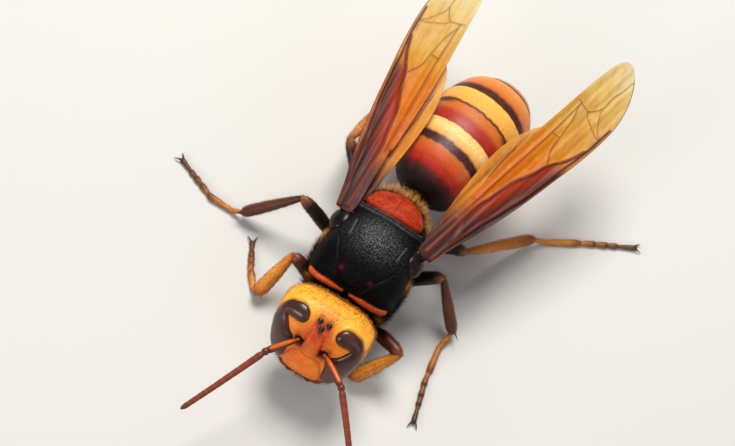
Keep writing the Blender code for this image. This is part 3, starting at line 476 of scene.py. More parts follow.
def makeHead(material):
    # the whole grid: right half, then left half
    run = headShares[None, :] * headLengths[:, None]
    run, across, depth = (np.hstack([values, sign * values[:, -2:0:-1]])
                          for values, sign in ((run, -1), (headAcross, -1), (headDepth, 1)))
    height = headHeights[:, None] * np.ones((1, run.shape[1]))
    rows = headSpace(across, height, depth)
    socketAcross, socketHeight = faceRun(*headShape["socket"]), headShape["socket"][1]
    side, front = np.abs(run), smoothStep(depth, -0.6, 0.2)
    eye = signedDistance(eyeEdge, side, height)
    fields = {
        "front": front, "behind": 1 - smoothStep(depth, -1.6, -0.9), "side": side, "depth": depth, "height": height,
        "drop": -height, "eye": eye, "clypeus": signedDistance(clypeusEdge, run, height),
        "shield": signedDistance(shieldEdge, run, height),
        "socket": np.hypot(side - socketAcross, height - socketHeight),
        "besideSocket": np.hypot(side - socketAcross - 0.35, height - 1.75),
        "ocellus": np.min([np.hypot(run - faceRun(x, y), height - y) for x, y in headShape["ocelli"]], axis=0),
        "belowOcelli": np.hypot(run, height - 2.75), "brow": np.hypot(run * 0.8, height - 3.3),
        "midFace": np.hypot(run, (height - 1.9) * 0.8), "nape": np.hypot(across, height + 0.2),
        "eyeNotch": np.hypot(side - 3.0, (height - 1.9) * 1.3), "besideEye": smoothStep(-eye, 0, 0.5) * front,
        "lowShield": (1 - smoothStep(height, 1.6, 3.2)) * front, "aboveSockets": height > 1.2,
        "underBrow": (1 - smoothStep(height, 1.0, 2.2)) * front, "lowHalf": smoothStep(-height, -0.4, 0.4),
    }
    rows = rows + gridNormals(rows) * addUp(0, fields, headShape["relief"])[..., None]
    frontRed, darkAndPaintedShade = (addUp(0, fields, headShape[key]) for key in ("frontRed", "darkAndPaintedShade"))
    lowerFace = smoothStep(-height, -1.0, 0.3)
    rims = np.maximum(bell(fields["socket"], 0.5), smoothStep(0.4 - fields["ocellus"], 0, 0.05))
    hairy = 1 - np.maximum(smoothStep(eye, -0.1, 0.0), rims)
    marks = {
        "frontRed": np.clip(frontRed * front, 0, 1), "darkAndPaintedShade": np.clip(darkAndPaintedShade, 0, 1), "lowerFace": lowerFace * front,
        "frontOrange": smoothStep(-height - 0.12 * side, -4.1, -2.7) * front, "crown": smoothStep(height, 3.0, 4.4),
        "cheek": smoothStep(-fields["clypeus"], 0.0, 0.4) * smoothStep(-height, 1.5, 3.4),
        "hairAmount": np.clip(hairy * addUp(0.8, fields, headShape["hairAmount"]), 0, 1),
        "hairLength": addUp(0.45, fields, headShape["hairLength"]),
        "hairTone": np.clip(0.8 - 0.4 * frontRed * front - 0.32 * lowerFace, 0.05, 1),
        "hairLie": unit(np.gradient(rows, axis=0)),
    }
    return skinPiece("headShell", rows, material, marks)


def fillOutline(edge, spacing, insets):
    # flat triangles inside a closed outline, denser along its edge
    way = unit(np.roll(edge, -1, 0) - np.roll(edge, 1, 0))
    inward = np.stack([-way[:, 1], way[:, 0]], 1)
    nudged = edge + inward * 0.01
    if (signedDistance(edge, nudged[:, 0], nudged[:, 1]) > 0).mean() < 0.5:
        inward = -inward
    x, y = (np.arange(edge[:, k].min(), edge[:, k].max(), step) for k, step in ((0, spacing), (1, spacing * 0.87)))
    gridX, gridY = np.meshgrid(x, y)
    gridX = gridX + spacing / 2 * (np.arange(len(y)) % 2)[:, None]
    inner = [edge + inward * inset for inset in insets] + [np.stack([gridX.ravel(), gridY.ravel()], 1)]
    limits = [inset * 0.9 for inset in insets] + [insets[-1] + spacing * 0.35]
    points = [tuple(p) for p in edge]
    for places, limit in zip(inner, limits):
        points += [tuple(p) for p in places[signedDistance(edge, places[:, 0], places[:, 1]) > limit]]
    edges = [(i, (i + 1) % len(edge)) for i in range(len(edge))]
    flat, _, faces, _, _, _ = delaunay_2d_cdt([Vector(p) for p in points], edges, [], 1, 1e-5)
    return np.array([tuple(p) for p in flat]), np.array([tuple(face) for face in faces])


def closedSheet(name, upper, lower, faces, material, marks):
    # closed piece from an upper and a lower sheet with the same triangles, walled along their edge
    count = len(upper)
    forward = {(a, b) for face in faces for a, b in zip(face, np.roll(face, -1))}
    rim = [(a, b) for a, b in forward if (b, a) not in forward]
    corners = upper[faces]
    normals = np.cross(corners[:, 1] - corners[:, 0], corners[:, 2] - corners[:, 0])
    outward = (normals * (upper - lower)[faces[:, 0]]).sum() > 0
    top = faces if outward else faces[:, ::-1]
    bottom = (faces[:, ::-1] if outward else faces) + count
    walls = []
    for a, b in rim:
        wall = [(b, a, a + count), (b, a + count, b + count)]
        walls += wall if outward else [tri[::-1] for tri in wall]
    mesh = bpy.data.meshes.new(name)
    every = top.tolist() + bottom.tolist() + [list(map(int, tri)) for tri in walls]
    mesh.from_pydata(toModel(np.vstack([upper, lower])).tolist(), [], every)
    addMarks(mesh, {key: np.concatenate([values, values]) for key, values in marks.items()})
    mesh.shade_smooth()
    return newObject(name, mesh, material)


def makeEye(name, sign, material):
    # bulging lens over the eye's outline, highest along its middle and rolled under at its edge
    flat, faces = fillOutline(eyeEdge, headShape["eyeSpacing"], headShape["eyeInsets"])
    edge = signedDistance(eyeEdge, flat[:, 0], flat[:, 1])
    slope = 1 - np.clip(edge / headShape["eyeRolled"], 0, 1)
    rise = headShape["eyeRise"] * np.sqrt(np.clip(1 - slope ** 2, 0, 1)) - headShape["eyeSunk"]
    run, height = flat[:, 0] * sign, flat[:, 1]
    surface, normal = headPoints(run, height), headOutward(run, height)
    upper = surface + normal * rise[:, None]
    lower = surface - normal * (0.2 + 0.15 * np.clip(edge, 0, 1))[:, None]
    # the rim mark is painted shade along the lens's edge, where it rolls under
    marks = {"place": (height + 3) / 7.5, "rim": 1 - smoothStep(edge, 0.0, 0.12)}
    return closedSheet(name, upper, lower, faces, material, marks)


def domePiece(name, centre, normal, radius, height, material, sides=20, rings=8):
    # small closed dome that sits on a surface
    normal = unit(normal)
    aside = unit(np.cross(normal, [0.3, 1, 0.2]))
    turn = np.linspace(0, 2 * math.pi, sides, endpoint=False)
    ring = (np.cos(turn)[:, None] * aside + np.sin(turn)[:, None] * np.cross(normal, aside)) * radius
    rows = [centre + ring * math.cos(angle) + normal * height * math.sin(angle)
            for angle in np.linspace(-0.5, math.pi / 2 - 0.05, rings)]
    return skinPiece(name, np.array(rows), material)


def tubeRows(path, widths, heights, sides, upHint=(0, 0, 1)):
    # rings square to a path; widths lie across it and heights upright
    path = np.asarray(path, float)
    way = unit(np.gradient(path, axis=0))
    side = unit(np.cross(way, np.asarray(upHint, float)))
    up = np.cross(side, way)
    turn = np.linspace(0, 2 * math.pi, sides, endpoint=False)
    return (path[:, None] + np.cos(turn)[None, :, None] * side[:, None] * np.asarray(widths)[:, None, None]
            + np.sin(turn)[None, :, None] * up[:, None] * np.asarray(heights)[:, None, None])


def makeJaw(name, sign, material):
    # broad jaw, closed under the clypeus, with three blunt teeth along its end
    length, sides = headShape["jaw"][-1][0], headShape["jawSides"]
    places = np.linspace(0, length, headShape["jawRows"])
    values = smoothTable(headShape["jaw"], places)
    path = headCentre + values[:, :1] * sign * headSide + values[:, 1:2] * headUp + values[:, 2:3] * headOut
    teeth = 1 + 0.2 * np.sin(places * 8.5) * smoothStep(places, 1.4, 2.2)
    rows = tubeRows(path, values[:, 3] * teeth, values[:, 4], sides, headOut)
    return skinPiece(name, rows, material, {"place": np.repeat((places / length)[:, None], sides, 1)})


def headPaints():
    shell, tree, shader = newPaint("goldenHeadShell", 0.42, 0.36)
    cloud, streaks, pits = noiseOf(tree, 0.9, 4), noiseOf(tree, 5.0, 4, 0.6), pitsOf(tree, 6.5)
    gold = colourRamp(tree, cloud, (0.3, 236, 136, 12), (0.5, 246, 162, 26), (0.72, 253, 190, 60))
    gold = layOver(tree, gold, "crown", 0.55, (255, 190, 64))
    gold = layOver(tree, gold, "frontOrange", 0.8, (240, 124, 10))
    red = colourRamp(tree, streaks, (0.3, 170, 38, 2), (0.5, 206, 66, 6), (0.72, 232, 106, 16))
    redder = maths(tree, "MULTIPLY_ADD", cloud, 0.5, -0.26)
    share = maths(tree, "ADD", maths(tree, "MULTIPLY", markOf(tree, "frontRed"), 1.2), redder, 0.0, True)
    colour = layOver(tree, gold, share, 1, red)
    lowOrange = colourRamp(tree, cloud, (0.3, 242, 102, 4), (0.6, 250, 124, 12), (0.8, 253, 152, 34))
    colour = layOver(tree, colour, "lowerFace", 0.85, lowOrange)
    colour = layOver(tree, colour, "cheek", 0.5, (186, 84, 16))
    # the darker ground near the ocelli, and the painted shade in the sockets, the grooves, under the head and at the
    # nape
    colour = layOver(tree, colour, "darkAndPaintedShade", 1.25, (66, 14, 6), 0.0)
    colour = layOver(tree, colour, pits, -0.3, (160, 62, 8), 0.3)
    wear(tree, shader, colour, (pits, 0.02, 0.55), (streaks, 0.02, 0.4))

    eye, tree, shader = newPaint("glossyEye", 0.3, 0.36, 0.12, 0.12)
    brown = colourRamp(tree, noiseOf(tree, 0.5, 2), (0.35, 56, 23, 16), (0.7, 92, 46, 32))
    brown = layOver(tree, brown, "place", 0.35, (58, 34, 34))
    # painted shade along the rim of the lens
    brown = layOver(tree, brown, "rim", 0.8, (26, 10, 8))
    wear(tree, shader, brown, (cellsOf(tree, 26.0), 0.004, 0.25))

    jaw, tree, shader = newPaint("jawShell", 0.3, 0.5, 0.3)
    colour = colourRamp(tree, markOf(tree, "place"), (0.0, 206, 104, 22), (0.45, 150, 62, 16), (0.75, 48, 16, 10))
    colour = layOver(tree, colour, noiseOf(tree, 4.0), 0.4, (60, 22, 10))
    wear(tree, shader, colour, (noiseOf(tree, 5.0, 3, 0.6, (1, 3, 1)), 0.03, 0.4))

    bead, tree, shader = newPaint("ocellusGlass", 0.14, 0.4, 0.15, 0.05)
    wear(tree, shader, colourRamp(tree, noiseOf(tree, 3.0, 2), (0.3, 6, 4, 4), (0.8, 18, 8, 7)))
    return shell, eye, jaw, bead


headPaint, eyePaint, jawPaint, ocellusPaint = headPaints()
headSkin = makeHead(headPaint)
finishPiece(headSkin, "head_shell", "head")
for sideName, sign in bodySides:
    title = sideName.capitalize()
    finishPiece(makeEye("eyeLens" + title, sign, eyePaint), "eye", "eye_" + sideName)
    finishPiece(makeJaw("jaw" + title, sign, jawPaint), "jaw", "mandible_" + sideName)
beads = []
for number, (across, height) in enumerate(headShape["ocelli"]):
    where = np.array(faceRun(across, height) if across else 0.0), np.array(height)
    outward = headOutward(*where)
    beads.append(domePiece(f"ocellus{number}", headPoints(*where) + outward * 0.02, outward,
                           headShape["ocellusRadius"], headShape["ocellusHeight"], ocellusPaint))
finishPiece(joinPieces("ocelli", beads), "eye")
print("head done")


chestShape = {
    "rows": 250,
    "columns": 300,
    "profileSteps": 1200,
    # place from head to tail, top, floor, widest height, half width
    "stations": [(-7.3, 7.3, 7.1, 7.2, 0.05), (-7.26, 7.7, 6.8, 7.2, 0.7), (-7.15, 8.3, 6.2, 7.2, 1.4),
                 (-6.95, 9.1, 5.5, 7.2, 2.9), (-6.5, 9.9, 4.8, 7.3, 4.15), (-5.7, 10.9, 4.2, 7.5, 4.75),
                 (-4.5, 11.8, 3.8, 7.7, 5.1),
                 (-3.0, 12.4, 3.6, 7.9, 5.3), (-1.5, 12.75, 3.6, 8.1, 5.1), (0.0, 12.85, 3.6, 8.2, 4.85),
                 (1.6, 12.75, 3.7, 8.2, 4.65), (3.2, 12.4, 3.9, 8.1, 4.35), (4.6, 11.9, 4.2, 7.9, 3.95),
                 (5.7, 11.2, 4.5, 7.7, 3.5), (6.6, 9.9, 5.0, 7.5, 2.8), (7.2, 8.6, 5.8, 7.4, 1.7),
                 (7.35, 7.9, 6.6, 7.4, 0.8), (7.38, 7.5, 7.3, 7.4, 0.05)],
    "backPower": 2.2,
    "bellyPower": 2.3,
    # right halves, across and along
    "collar": [(0.5, -6.62), (1.3, -6.6), (2.3, -6.52), (3.4, -6.35), (4.35, -5.9)],
    "scutumEdge": [(0.0, -6.35), (1.2, -6.05), (1.95, -5.1), (2.8, -3.9), (3.5, -2.5), (4.05, -1.1)],
    "scutellum": [(0.0, 2.35), (1.6, 2.4), (2.9, 2.75), (3.45, 3.3), (3.3, 4.2), (2.6, 5.1), (1.4, 5.65), (0.0, 5.95)],
    "glintLine": [(2.84, -1.7), (2.9, -0.8), (3.0, 0.3)],
    "redSpot": (1.75, -5.1),
    # grooves down the flanks: along and height
    "flankGrooves": [[(-1.2, 10.9), (-2.2, 9.6), (-3.6, 7.8), (-4.9, 5.2)],
                     [(2.7, 10.8), (2.4, 9.0), (1.7, 7.0), (2.1, 4.4)],
                     [(4.4, 10.6), (4.3, 9.0), (3.9, 7.2), (3.7, 4.8)], [(-3.4, 7.2), (-1.0, 7.6), (1.8, 7.3)]],
    # what the relief is made of, as rows for addUp
    "relief": [
        (0.22, "bell", "collarShare", 0, 0.4, "taper"), (-0.14, "bell", "scutum", 0, 0.13, "back"),
        (0.1, "step", "side", 0.4, 2.6, "shoulders"), (0.2, "step", "shield", -0.02, 0.3, "back"),
        (0.22, "step", "shield", 0.1, 1.5, "back"), (-0.22, "bell", "shield", 0.05, 0.15, "back"),
        (0.22, "bell", "shield", 0.45, 0.18, "beforeShield"), (-0.13, "bell", "shield", 0.85, 0.12, "beforeShield"),
        (0.12, "bell", "crown", 0, 3.2, "back"), (-0.05, "bell", "across", 0, 0.09, "onShield"),
        (-0.06, "bell", "across", 0, 0.12, "midScutum"), (-0.06, "bell", "glintLine", 0, 0.1, "back"),
        (-0.3, "bell", "groove", 0, 0.2, "flank"), (0.2, "bell", "lowFlank", 0, 1.9, "flank"),
        (0.12, "bell", "foreFlank", 0, 1.3, "flank"), (-0.12, "bell", "across", 0, 0.8, "rear")],
    "ledge": [(0.07, "bell", "shield", 0.45, 0.3), (0.9, "bell", "shield", 0.34, 0.05),
              (0.5, "bell", "shield", 0.68, 0.05)],
    # amount and length of hair: everywhere, then on flank, front, fringe, rear and shoulder
    "hairAmount": (0.2, 0.7, 0.6, 0.6, 0.5, 0.7),
    "hairLength": (0.24, 0.5, 0.4, 0.85, 0.3, 0.0),
}


def ringSection(half, rise, drop, topPower, lowPower, columns):
    # closed section: x across and z upright, in even steps, its seam at the belly
    angles = np.linspace(-math.pi / 2, 1.5 * math.pi, 721)
    sine, cosine = np.sin(angles), np.cos(angles)
    power = np.where(sine > 0, topPower, lowPower)
    x = half * np.sign(cosine) * np.abs(cosine) ** (2 / power)
    z = np.where(sine > 0, rise, drop) * np.sign(sine) * np.abs(sine) ** (2 / power)
    return pointsAlong(np.stack([x, z], 1), np.linspace(0, runAlong(x, z)[-1], columns, endpoint=False)).T


def chestTop(across, along):
    # point on the chest's back at a place in plan
    top, _, mid, half = smoothTable(chestShape["stations"], [along])[0]
    share = min(abs(across) / half, 0.999)
    power = chestShape["backPower"]
    return np.array([across, along, mid + (top - mid) * (1 - share ** power) ** (1 / power)])


def makeChest(material):
    shape, stations = chestShape, chestShape["stations"]
    fine = np.linspace(stations[0][0], stations[-1][0], shape["profileSteps"])
    profile = smoothTable(stations, fine)
    steps = np.abs(np.diff(fine)) + 0.7 * np.abs(np.diff(profile[:, 0])) + 0.4 * np.abs(np.diff(profile[:, 3]))
    run = np.concatenate([[0], np.cumsum(steps)])
    places = np.interp(np.linspace(0, run[-1], shape["rows"]), run, fine)
    rows = []
    for y, (top, floor, mid, half) in zip(places, smoothTable(stations, places)):
        x, z = ringSection(half, top - mid, mid - floor, shape["backPower"], shape["bellyPower"], shape["columns"])
        rows.append(np.stack([x, np.full_like(x, y), mid + z], 1))
    rows = np.array(rows)
    normals = gridNormals(rows)
    across, along, height = np.moveaxis(rows, 2, 0)
    side, back = np.abs(across), smoothStep(normals[..., 2], 0.05, 0.35)
    flank, rear = 1 - back, smoothStep(along, 5.4, 6.2)
    taper = 0.55 + 0.45 * smoothStep(side, 0.6, 2.0)
    collar = distanceToPath([chestTop(x, y) for x, y in shape["collar"]], side, along, height)
    shield = signedDistance(smoothPath(mirrorHalf(shape["scutellum"]), 90), across, along)
    shield = np.where(back > 0.02, shield, -3)
    spotAcross, spotAlong = shape["redSpot"]
    fields = {
        "across": across, "side": side, "back": back, "flank": flank, "taper": taper, "collarShare": collar / taper,
        "shield": shield, "scutum": distanceToPath(smoothPath(shape["scutumEdge"], 40), side, along),
        "glintLine": distanceToPath(shape["glintLine"], side, along), "crown": np.hypot(across, along + 1.0),
        "groove": np.min([distanceToPath(smoothPath(path, 24), along, height)
                          for path in shape["flankGrooves"]], axis=0),
        "lowFlank": np.hypot(along + 0.9, height - 6.5), "foreFlank": np.hypot(along + 5.2, height - 8.2),
        "shoulders": bell(along + 5.3, 1.0) * back, "beforeShield": smoothStep(3.3 - along, 0, 0.5) * back,
        "onShield": smoothStep(shield, 0.2, 0.5), "rear": smoothStep(along, 5.6, 6.6),
        "midScutum": smoothStep(along, -5.6, -4.8) * (1 - smoothStep(along, 0.4, 1.4)) * back,
    }
    rows = rows + normals * addUp(0, fields, shape["relief"])[..., None]
    front = 1 - smoothStep(along, -6.2, -5.0)
    fringe = bell(shield + 0.3, 0.45) * smoothStep(along, 3.6, 4.6)
    corner = bell(np.sqrt((side - 4.3) ** 2 + (along + 6.5) ** 2 + 0.4 * (height - 8.4) ** 2), 0.8)
    corner = corner * smoothStep(-along, 6.05, 6.35)
    shoulder = np.maximum(bell(along + 2.0, 1.5) * bell(height - 9.2, 0.75), 0.85 * corner)
    stripe = smoothStep(0.42 * taper - collar, 0, 0.13)
    shieldTint = smoothStep(shield, -0.05, 0.1) * back
    hairy = 1 - 0.93 * np.maximum(stripe, shieldTint)
    hairy = hairy * (1 - 0.55 * bell(np.hypot(across * 0.7, along + 0.4), 2.0) * back)
    amount, hairLength = (sum(size * part for size, part in zip(shape[key], (1, flank, front, fringe, rear, shoulder)))
                          for key in ("hairAmount", "hairLength"))
    golden = np.maximum(np.clip(fringe * 1.3, 0, 0.84), 0.42 * smoothStep(along, 5.0, 6.2))
    golden = np.maximum(golden + 0.38 * flank * smoothStep(along, -5.5, -2.5), 0.92 * shoulder)
    marks = {
        "stripe": stripe, "shieldTint": shieldTint,
        "sheen": bell(np.hypot(across * 0.7, along + 0.9), 1.9) * back * (1 - shieldTint),
        # a thin painted glint along the groove on each side of the scutum
        "glintLine": bell(fields["glintLine"], 0.05) * back,
        "redSpot": bell(np.hypot(side - spotAcross, along - spotAlong), 0.22) * back,
        "ledge": addUp(0, fields, shape["ledge"]) * smoothStep(3.2 - along, 0, 0.6) * back,
        "midLine": bell(across, 0.07) * smoothStep(shield, 0.3, 0.6) * back,
        "notch": bell(np.hypot(across, (along - 5.75) * 1.4), 0.42) * back,
        # painted shade in the flank grooves
        "groove": bell(fields["groove"], 0.22) * flank,
        "hairAmount": np.clip(amount * hairy, 0, 1), "hairLength": np.maximum(hairLength, 0.7 * shoulder),
        "hairTone": np.clip(golden, 0, 1), "hairLie": unit(np.gradient(rows, axis=0)) * (1 - 0.6 * fringe)[..., None],
    }
    return skinPiece("chestSkin", rows, material, marks)


def chestPaint():
    material, tree, shader = newPaint("chestShell", specular=0.06)
    patches, pits = noiseOf(tree, 2.2, 4), pitsOf(tree, 5.5)
    ledge, stripe, shieldTint = (markOf(tree, key) for key in ("ledge", "stripe", "shieldTint"))
    both = maths(tree, "ADD", stripe, shieldTint)
    tree.links.new(maths(tree, "MULTIPLY_ADD", ledge, -0.12, 0.42), shader.inputs["Roughness"])

    def within(share, cells, strength):
        # the pits' own share inside another mark
        return maths(tree, "MULTIPLY", maths(tree, "SUBTRACT", 1.0, cells), maths(tree, "MULTIPLY", share, strength))

    speckles = colourRamp(tree, noiseOf(tree, 8.5, 3, 0.7), (0.5, 0), (0.6, 1))
    sheen = maths(tree, "MULTIPLY", markOf(tree, "sheen"), maths(tree, "MULTIPLY_ADD", speckles, 0.8, 0.02))
    # painted glints of light, in patches along the ledge in front of the scutellum
    paintedLedgeGlints = maths(tree, "MULTIPLY", ledge, maths(tree, "MULTIPLY_ADD", patches, 1.6, -0.2, True))
    orange = colourRamp(tree, patches, (0.3, 188, 70, 26), (0.55, 206, 92, 38), (0.8, 218, 122, 64))
    brick = colourRamp(tree, noiseOf(tree, 1.1, 3), (0.3, 146, 38, 18), (0.55, 172, 56, 26), (0.8, 190, 92, 52))
    colour = colourRamp(tree, noiseOf(tree, 1.3, 4), (0.35, 3, 3, 4), (0.6, 7, 5, 6), (0.8, 17, 10, 10))
    for share, strength, top in (
            # the ledge's patches and the thin groove line are painted glints
            (sheen, 1, (128, 127, 131)), (paintedLedgeGlints, 1, (150, 144, 146)), ("glintLine", 0.5, (140, 134, 132)),
            # the flank grooves get painted shade
            ("redSpot", 0.6, (122, 24, 28)), ("groove", 0.6, (8, 5, 5)), (stripe, 1, orange), (shieldTint, 1, brick),
            (within(both, pits, 0.3), 1, (72, 16, 8)), (within(shieldTint, pitsOf(tree, 2.6), 0.7), 1, (84, 20, 10)),
            ("midLine", 0.6, (92, 24, 12)), ("notch", 0.85, (30, 14, 8))):
        colour = layOver(tree, colour, share, strength, top)
    calm = maths(tree, "MULTIPLY_ADD", both, -0.65, 1.0, True)
    wear(tree, shader, colour, (maths(tree, "MULTIPLY", pits, calm), 0.04, 0.7),
         (maths(tree, "MULTIPLY", noiseOf(tree, 9.0, 3, 0.6), calm), 0.025, 0.5))
    return material


tegulaShape = {
    "left": (4.62, -0.1, 10.3), "right": (-4.62, 0.2, 10.3), "size": (1.2, 1.4, 0.62), "tiltDegrees": 40,
    # small plates of the wing's hinge: outward, behind and above the shell's middle, then radius
    "hinge": [(-0.35, 1.12, 0.5, 0.42), (0.4, 1.2, 0.25, 0.38), (-0.9, 0.9, 0.6, 0.36)],
}


def makeTegula(sideName, sign, material):
    # smooth tilted shell over the wing's root, with the hinge's plates behind it
    name = "tegula" + sideName.capitalize()
    centre = np.array(tegulaShape[sideName])
    wide, long, tall = tegulaShape["size"]
    tilt = math.radians(tegulaShape["tiltDegrees"])
    outward = np.array([sign * math.cos(tilt), 0, -math.sin(tilt)])
    upward = np.array([sign * math.sin(tilt), 0, math.cos(tilt)])
    turn = np.linspace(0, 2 * math.pi, 40, endpoint=False)
    ring = (np.cos(turn) * wide)[:, None] * outward + (np.sin(turn) * tall)[:, None] * upward
    rows = [centre + ring * math.sin(t) - [0, long * math.cos(t), 0] for t in np.linspace(0.02, 0.98, 34) * math.pi]
    rows = np.array(rows)
    parts = [skinPiece(name, rows, material, {"place": (rows[..., 1] - centre[1]) / long})]
    for number, (out, behind, above, radius) in enumerate(tegulaShape["hinge"]):
        where = centre + [sign * out, behind, above]
        parts.append(domePiece("hinge" + str(number), where, upward + outward * 0.3, radius, radius, material, 20, 9))
    return joinPieces(name, parts)


def tegulaPaint():
    material, tree, shader = newPaint("tegulaShell", 0.27, 0.2)
    colour = colourRamp(tree, noiseOf(tree, 1.4, 3), (0.35, 10, 7, 6), (0.7, 32, 20, 16))
    colour = layOver(tree, colour, "place", 1.4, (120, 70, 44), -0.75)
    wear(tree, shader, colour, (noiseOf(tree, 5.0, 3), 0.02, 0.3))
    return material


neckShape = {
    "rows": 12,
    "sides": 48,
    "path": [(0, -8.6, 7.35), (0, -7.4, 7.3), (0, -6.6, 7.3)],
    "widths": [(0, 1.15), (0.35, 1.3), (0.7, 1.8), (1, 2.5)],
    "flatness": 0.85,
}


def makeNeck():
    material, _, shader = newPaint("neckSkin", 0.6, 0.15)
    shader.inputs["Base Color"].default_value = paint(26, 14, 11)
    path = smoothPath(neckShape["path"], neckShape["rows"])
    widths = smoothTable(neckShape["widths"], np.linspace(0, 1, neckShape["rows"]))[:, 0]
    return skinPiece("neck", tubeRows(path, widths, widths * neckShape["flatness"], neckShape["sides"]), material)


chestSkin = makeChest(chestPaint())
finishPiece(chestSkin, "chest", "pronotum", "mesothorax", "scutellum", "propodeum")
finishPiece(makeNeck(), "chest")
tegulaFinish = tegulaPaint()
for sideName, sign in bodySides:
    finishPiece(makeTegula(sideName, sign, tegulaFinish), "tegula", "tegula_" + sideName)
print("chest done")


gasterShape = {
    "rows": 350,
    "columns": 236,
    # place from the waist, along, height, lean in degrees, half width, rise, drop
    "stations": [(0.0, 7.65, 7.3, -12, 0.6, 0.6, 0.6), (0.7, 8.3, 7.4, -10, 1.2, 1.2, 1.0),
                 (1.3, 8.9, 7.7, -8, 2.3, 2.4, 2.0), (2.2, 9.8, 7.9, -5, 3.5, 3.7, 3.0),
                 (3.6, 11.2, 8.2, -3, 4.45, 4.6, 3.7), (5.5, 13.1, 8.4, -1, 4.9, 4.9, 4.0),
                 (7.6, 15.2, 8.55, 2, 5.25, 5.0, 4.2), (10.4, 18.0, 8.4, 6, 5.4, 5.05, 4.3),
                 (13.2, 20.7, 7.9, 14, 5.25, 4.85, 4.2), (15.8, 23.0, 6.9, 30, 4.7, 4.2, 3.7),
                 (18.2, 24.8, 5.6, 46, 3.8, 3.3, 3.0), (20.3, 26.2, 4.3, 56, 2.7, 2.3, 2.2),
                 (22.0, 27.2, 3.1, 60, 1.4, 1.2, 1.2), (22.8, 27.7, 2.5, 60, 0.45, 0.4, 0.4),
                 (23.0, 27.83, 2.4, 60, 0.05, 0.05, 0.05)],
    "backPower": 2.15,
    "bellyPower": 2.3,
    "yawDegrees": -9.5,
    "root": (0.45, 7.5, 0.0),
    # rear edges of the plates above and of those below
    "rims": (7.6, 12.5, 15.8, 18.6, 21.0),
    "bellyRims": (6.6, 11.3, 14.8, 17.9, 20.5),
    "step": 0.2,
    # rows set close round each rim
    "rimRows": (-0.045, -0.025, -0.01, 0.0, 0.01, 0.025, 0.045, 0.07),
    # bands of colour: place from the waist, then the colour
    "bands": [
        (0.0, 8, 4, 4), (1.9, 14, 5, 4), (2.5, 84, 12, 6), (3.0, 168, 28, 8), (3.8, 188, 66, 20), (4.85, 186, 98, 40),
        (5.05, 50, 22, 26), (5.8, 50, 20, 24), (6.1, 224, 158, 78), (6.9, 244, 200, 122), (7.5, 238, 186, 106),
        (7.66, 150, 32, 24), (8.8, 164, 44, 28), (9.4, 192, 100, 36), (10.2, 194, 104, 36), (10.32, 72, 30, 18),
        (10.46, 70, 28, 18), (10.66, 226, 160, 62), (12.4, 236, 180, 80), (12.56, 48, 20, 16), (13.4, 62, 26, 18),
        (13.8, 202, 102, 30), (15.7, 232, 150, 54), (15.85, 50, 20, 14), (16.7, 66, 28, 16), (17.1, 196, 98, 28),
        (18.5, 222, 134, 44), (18.65, 50, 22, 14), (19.4, 96, 42, 20), (20.9, 214, 118, 36), (21.1, 130, 62, 22),
        (23.0, 236, 152, 40)],
    "bandScale": 24,
}


def gasterCentre(places):
    table = smoothTable(gasterShape["stations"], places)
    yaw = math.radians(gasterShape["yawDegrees"])
    backward = np.array([-math.sin(yaw), math.cos(yaw), 0])
    sideways = np.array([math.cos(yaw), math.sin(yaw), 0])
    centre = np.array(gasterShape["root"]) + (table[:, :1] - 7.5) * backward + table[:, 1:2] * [0, 0, 1]
    lean = np.radians(table[:, 2])[:, None]
    return table, centre, sideways, np.cos(lean) * [0, 0, 1] + np.sin(lean) * backward


def plateStep(places, rims):
    # each plate swells to its rear edge and drops onto the next
    raised = np.zeros_like(places)
    for rim in rims:
        swelling = 0.55 * smoothStep(places, rim - 1.6, rim - 0.1) + 0.12 * bell(places - rim + 0.28, 0.16)
        falling = 0.45 * (1 - smoothStep(places, rim, rim + 1.0))
        raised += np.where(places <= rim, swelling, -falling)
    return raised


def makeGaster(material):
    shape = gasterShape
    edges = [rim + shift for rim in shape["rims"] + shape["bellyRims"] for shift in shape["rimRows"]]
    base = np.linspace(0, shape["stations"][-1][0], shape["rows"] - len(edges))
    places = np.unique(np.concatenate([base, edges]))
    table, centre, sideways, up = gasterCentre(places)
    sections = np.array([ringSection(half, rise, drop, shape["backPower"], shape["bellyPower"], shape["columns"])
                         for half, rise, drop in table[:, 3:]])
    x, z = sections[:, 0], sections[:, 1]
    rows = centre[:, None] + x[..., None] * sideways + z[..., None] * up[:, None]
    place = places[:, None] * np.ones((1, rows.shape[1]))
    drop = table[:, 5:6]
    belly = smoothStep(-z / drop, 0.3, 0.42)
    swell = smoothStep(place, 1.2, 3.0)
    above, below = plateStep(place, shape["rims"]), plateStep(place, shape["bellyRims"])
    raised = shape["step"] * (above * (1 - belly) + below * belly)
    raised = (raised + 0.1 * (1 - belly) - 0.14 * bell(z + 0.36 * drop, 0.12)) * swell
    raised -= 0.1 * bell(place - 3.15, 0.35) * (1 - belly)
    rows = rows + gridNormals(rows) * raised[..., None]
    wave = 0.03 * np.sin(x * 2.2) + 0.03 * np.sin(x * 6.1 + place)
    marks = {
        "bandPlace": (place + wave) / shape["bandScale"], "belly": belly,
        "blotch": bell(np.abs(x) - 4.3, 1.1) * bell(place - 10.25, 0.45),
        "hairAmount": 0.35 + 0.65 * smoothStep(place, 15.0, 19.0),
        "hairLength": 0.22 + 0.5 * smoothStep(place, 16.0, 21.5) + 0.2 * (1 - smoothStep(place, 1.5, 4)),
        "hairTone": np.clip(0.72 - 0.3 * belly - 0.55 * (1 - smoothStep(place, 2.0, 3.6)), 0, 1),
        "hairLie": unit(np.gradient(rows, axis=0)),
    }
    return skinPiece("gasterSkin", rows, material, marks)


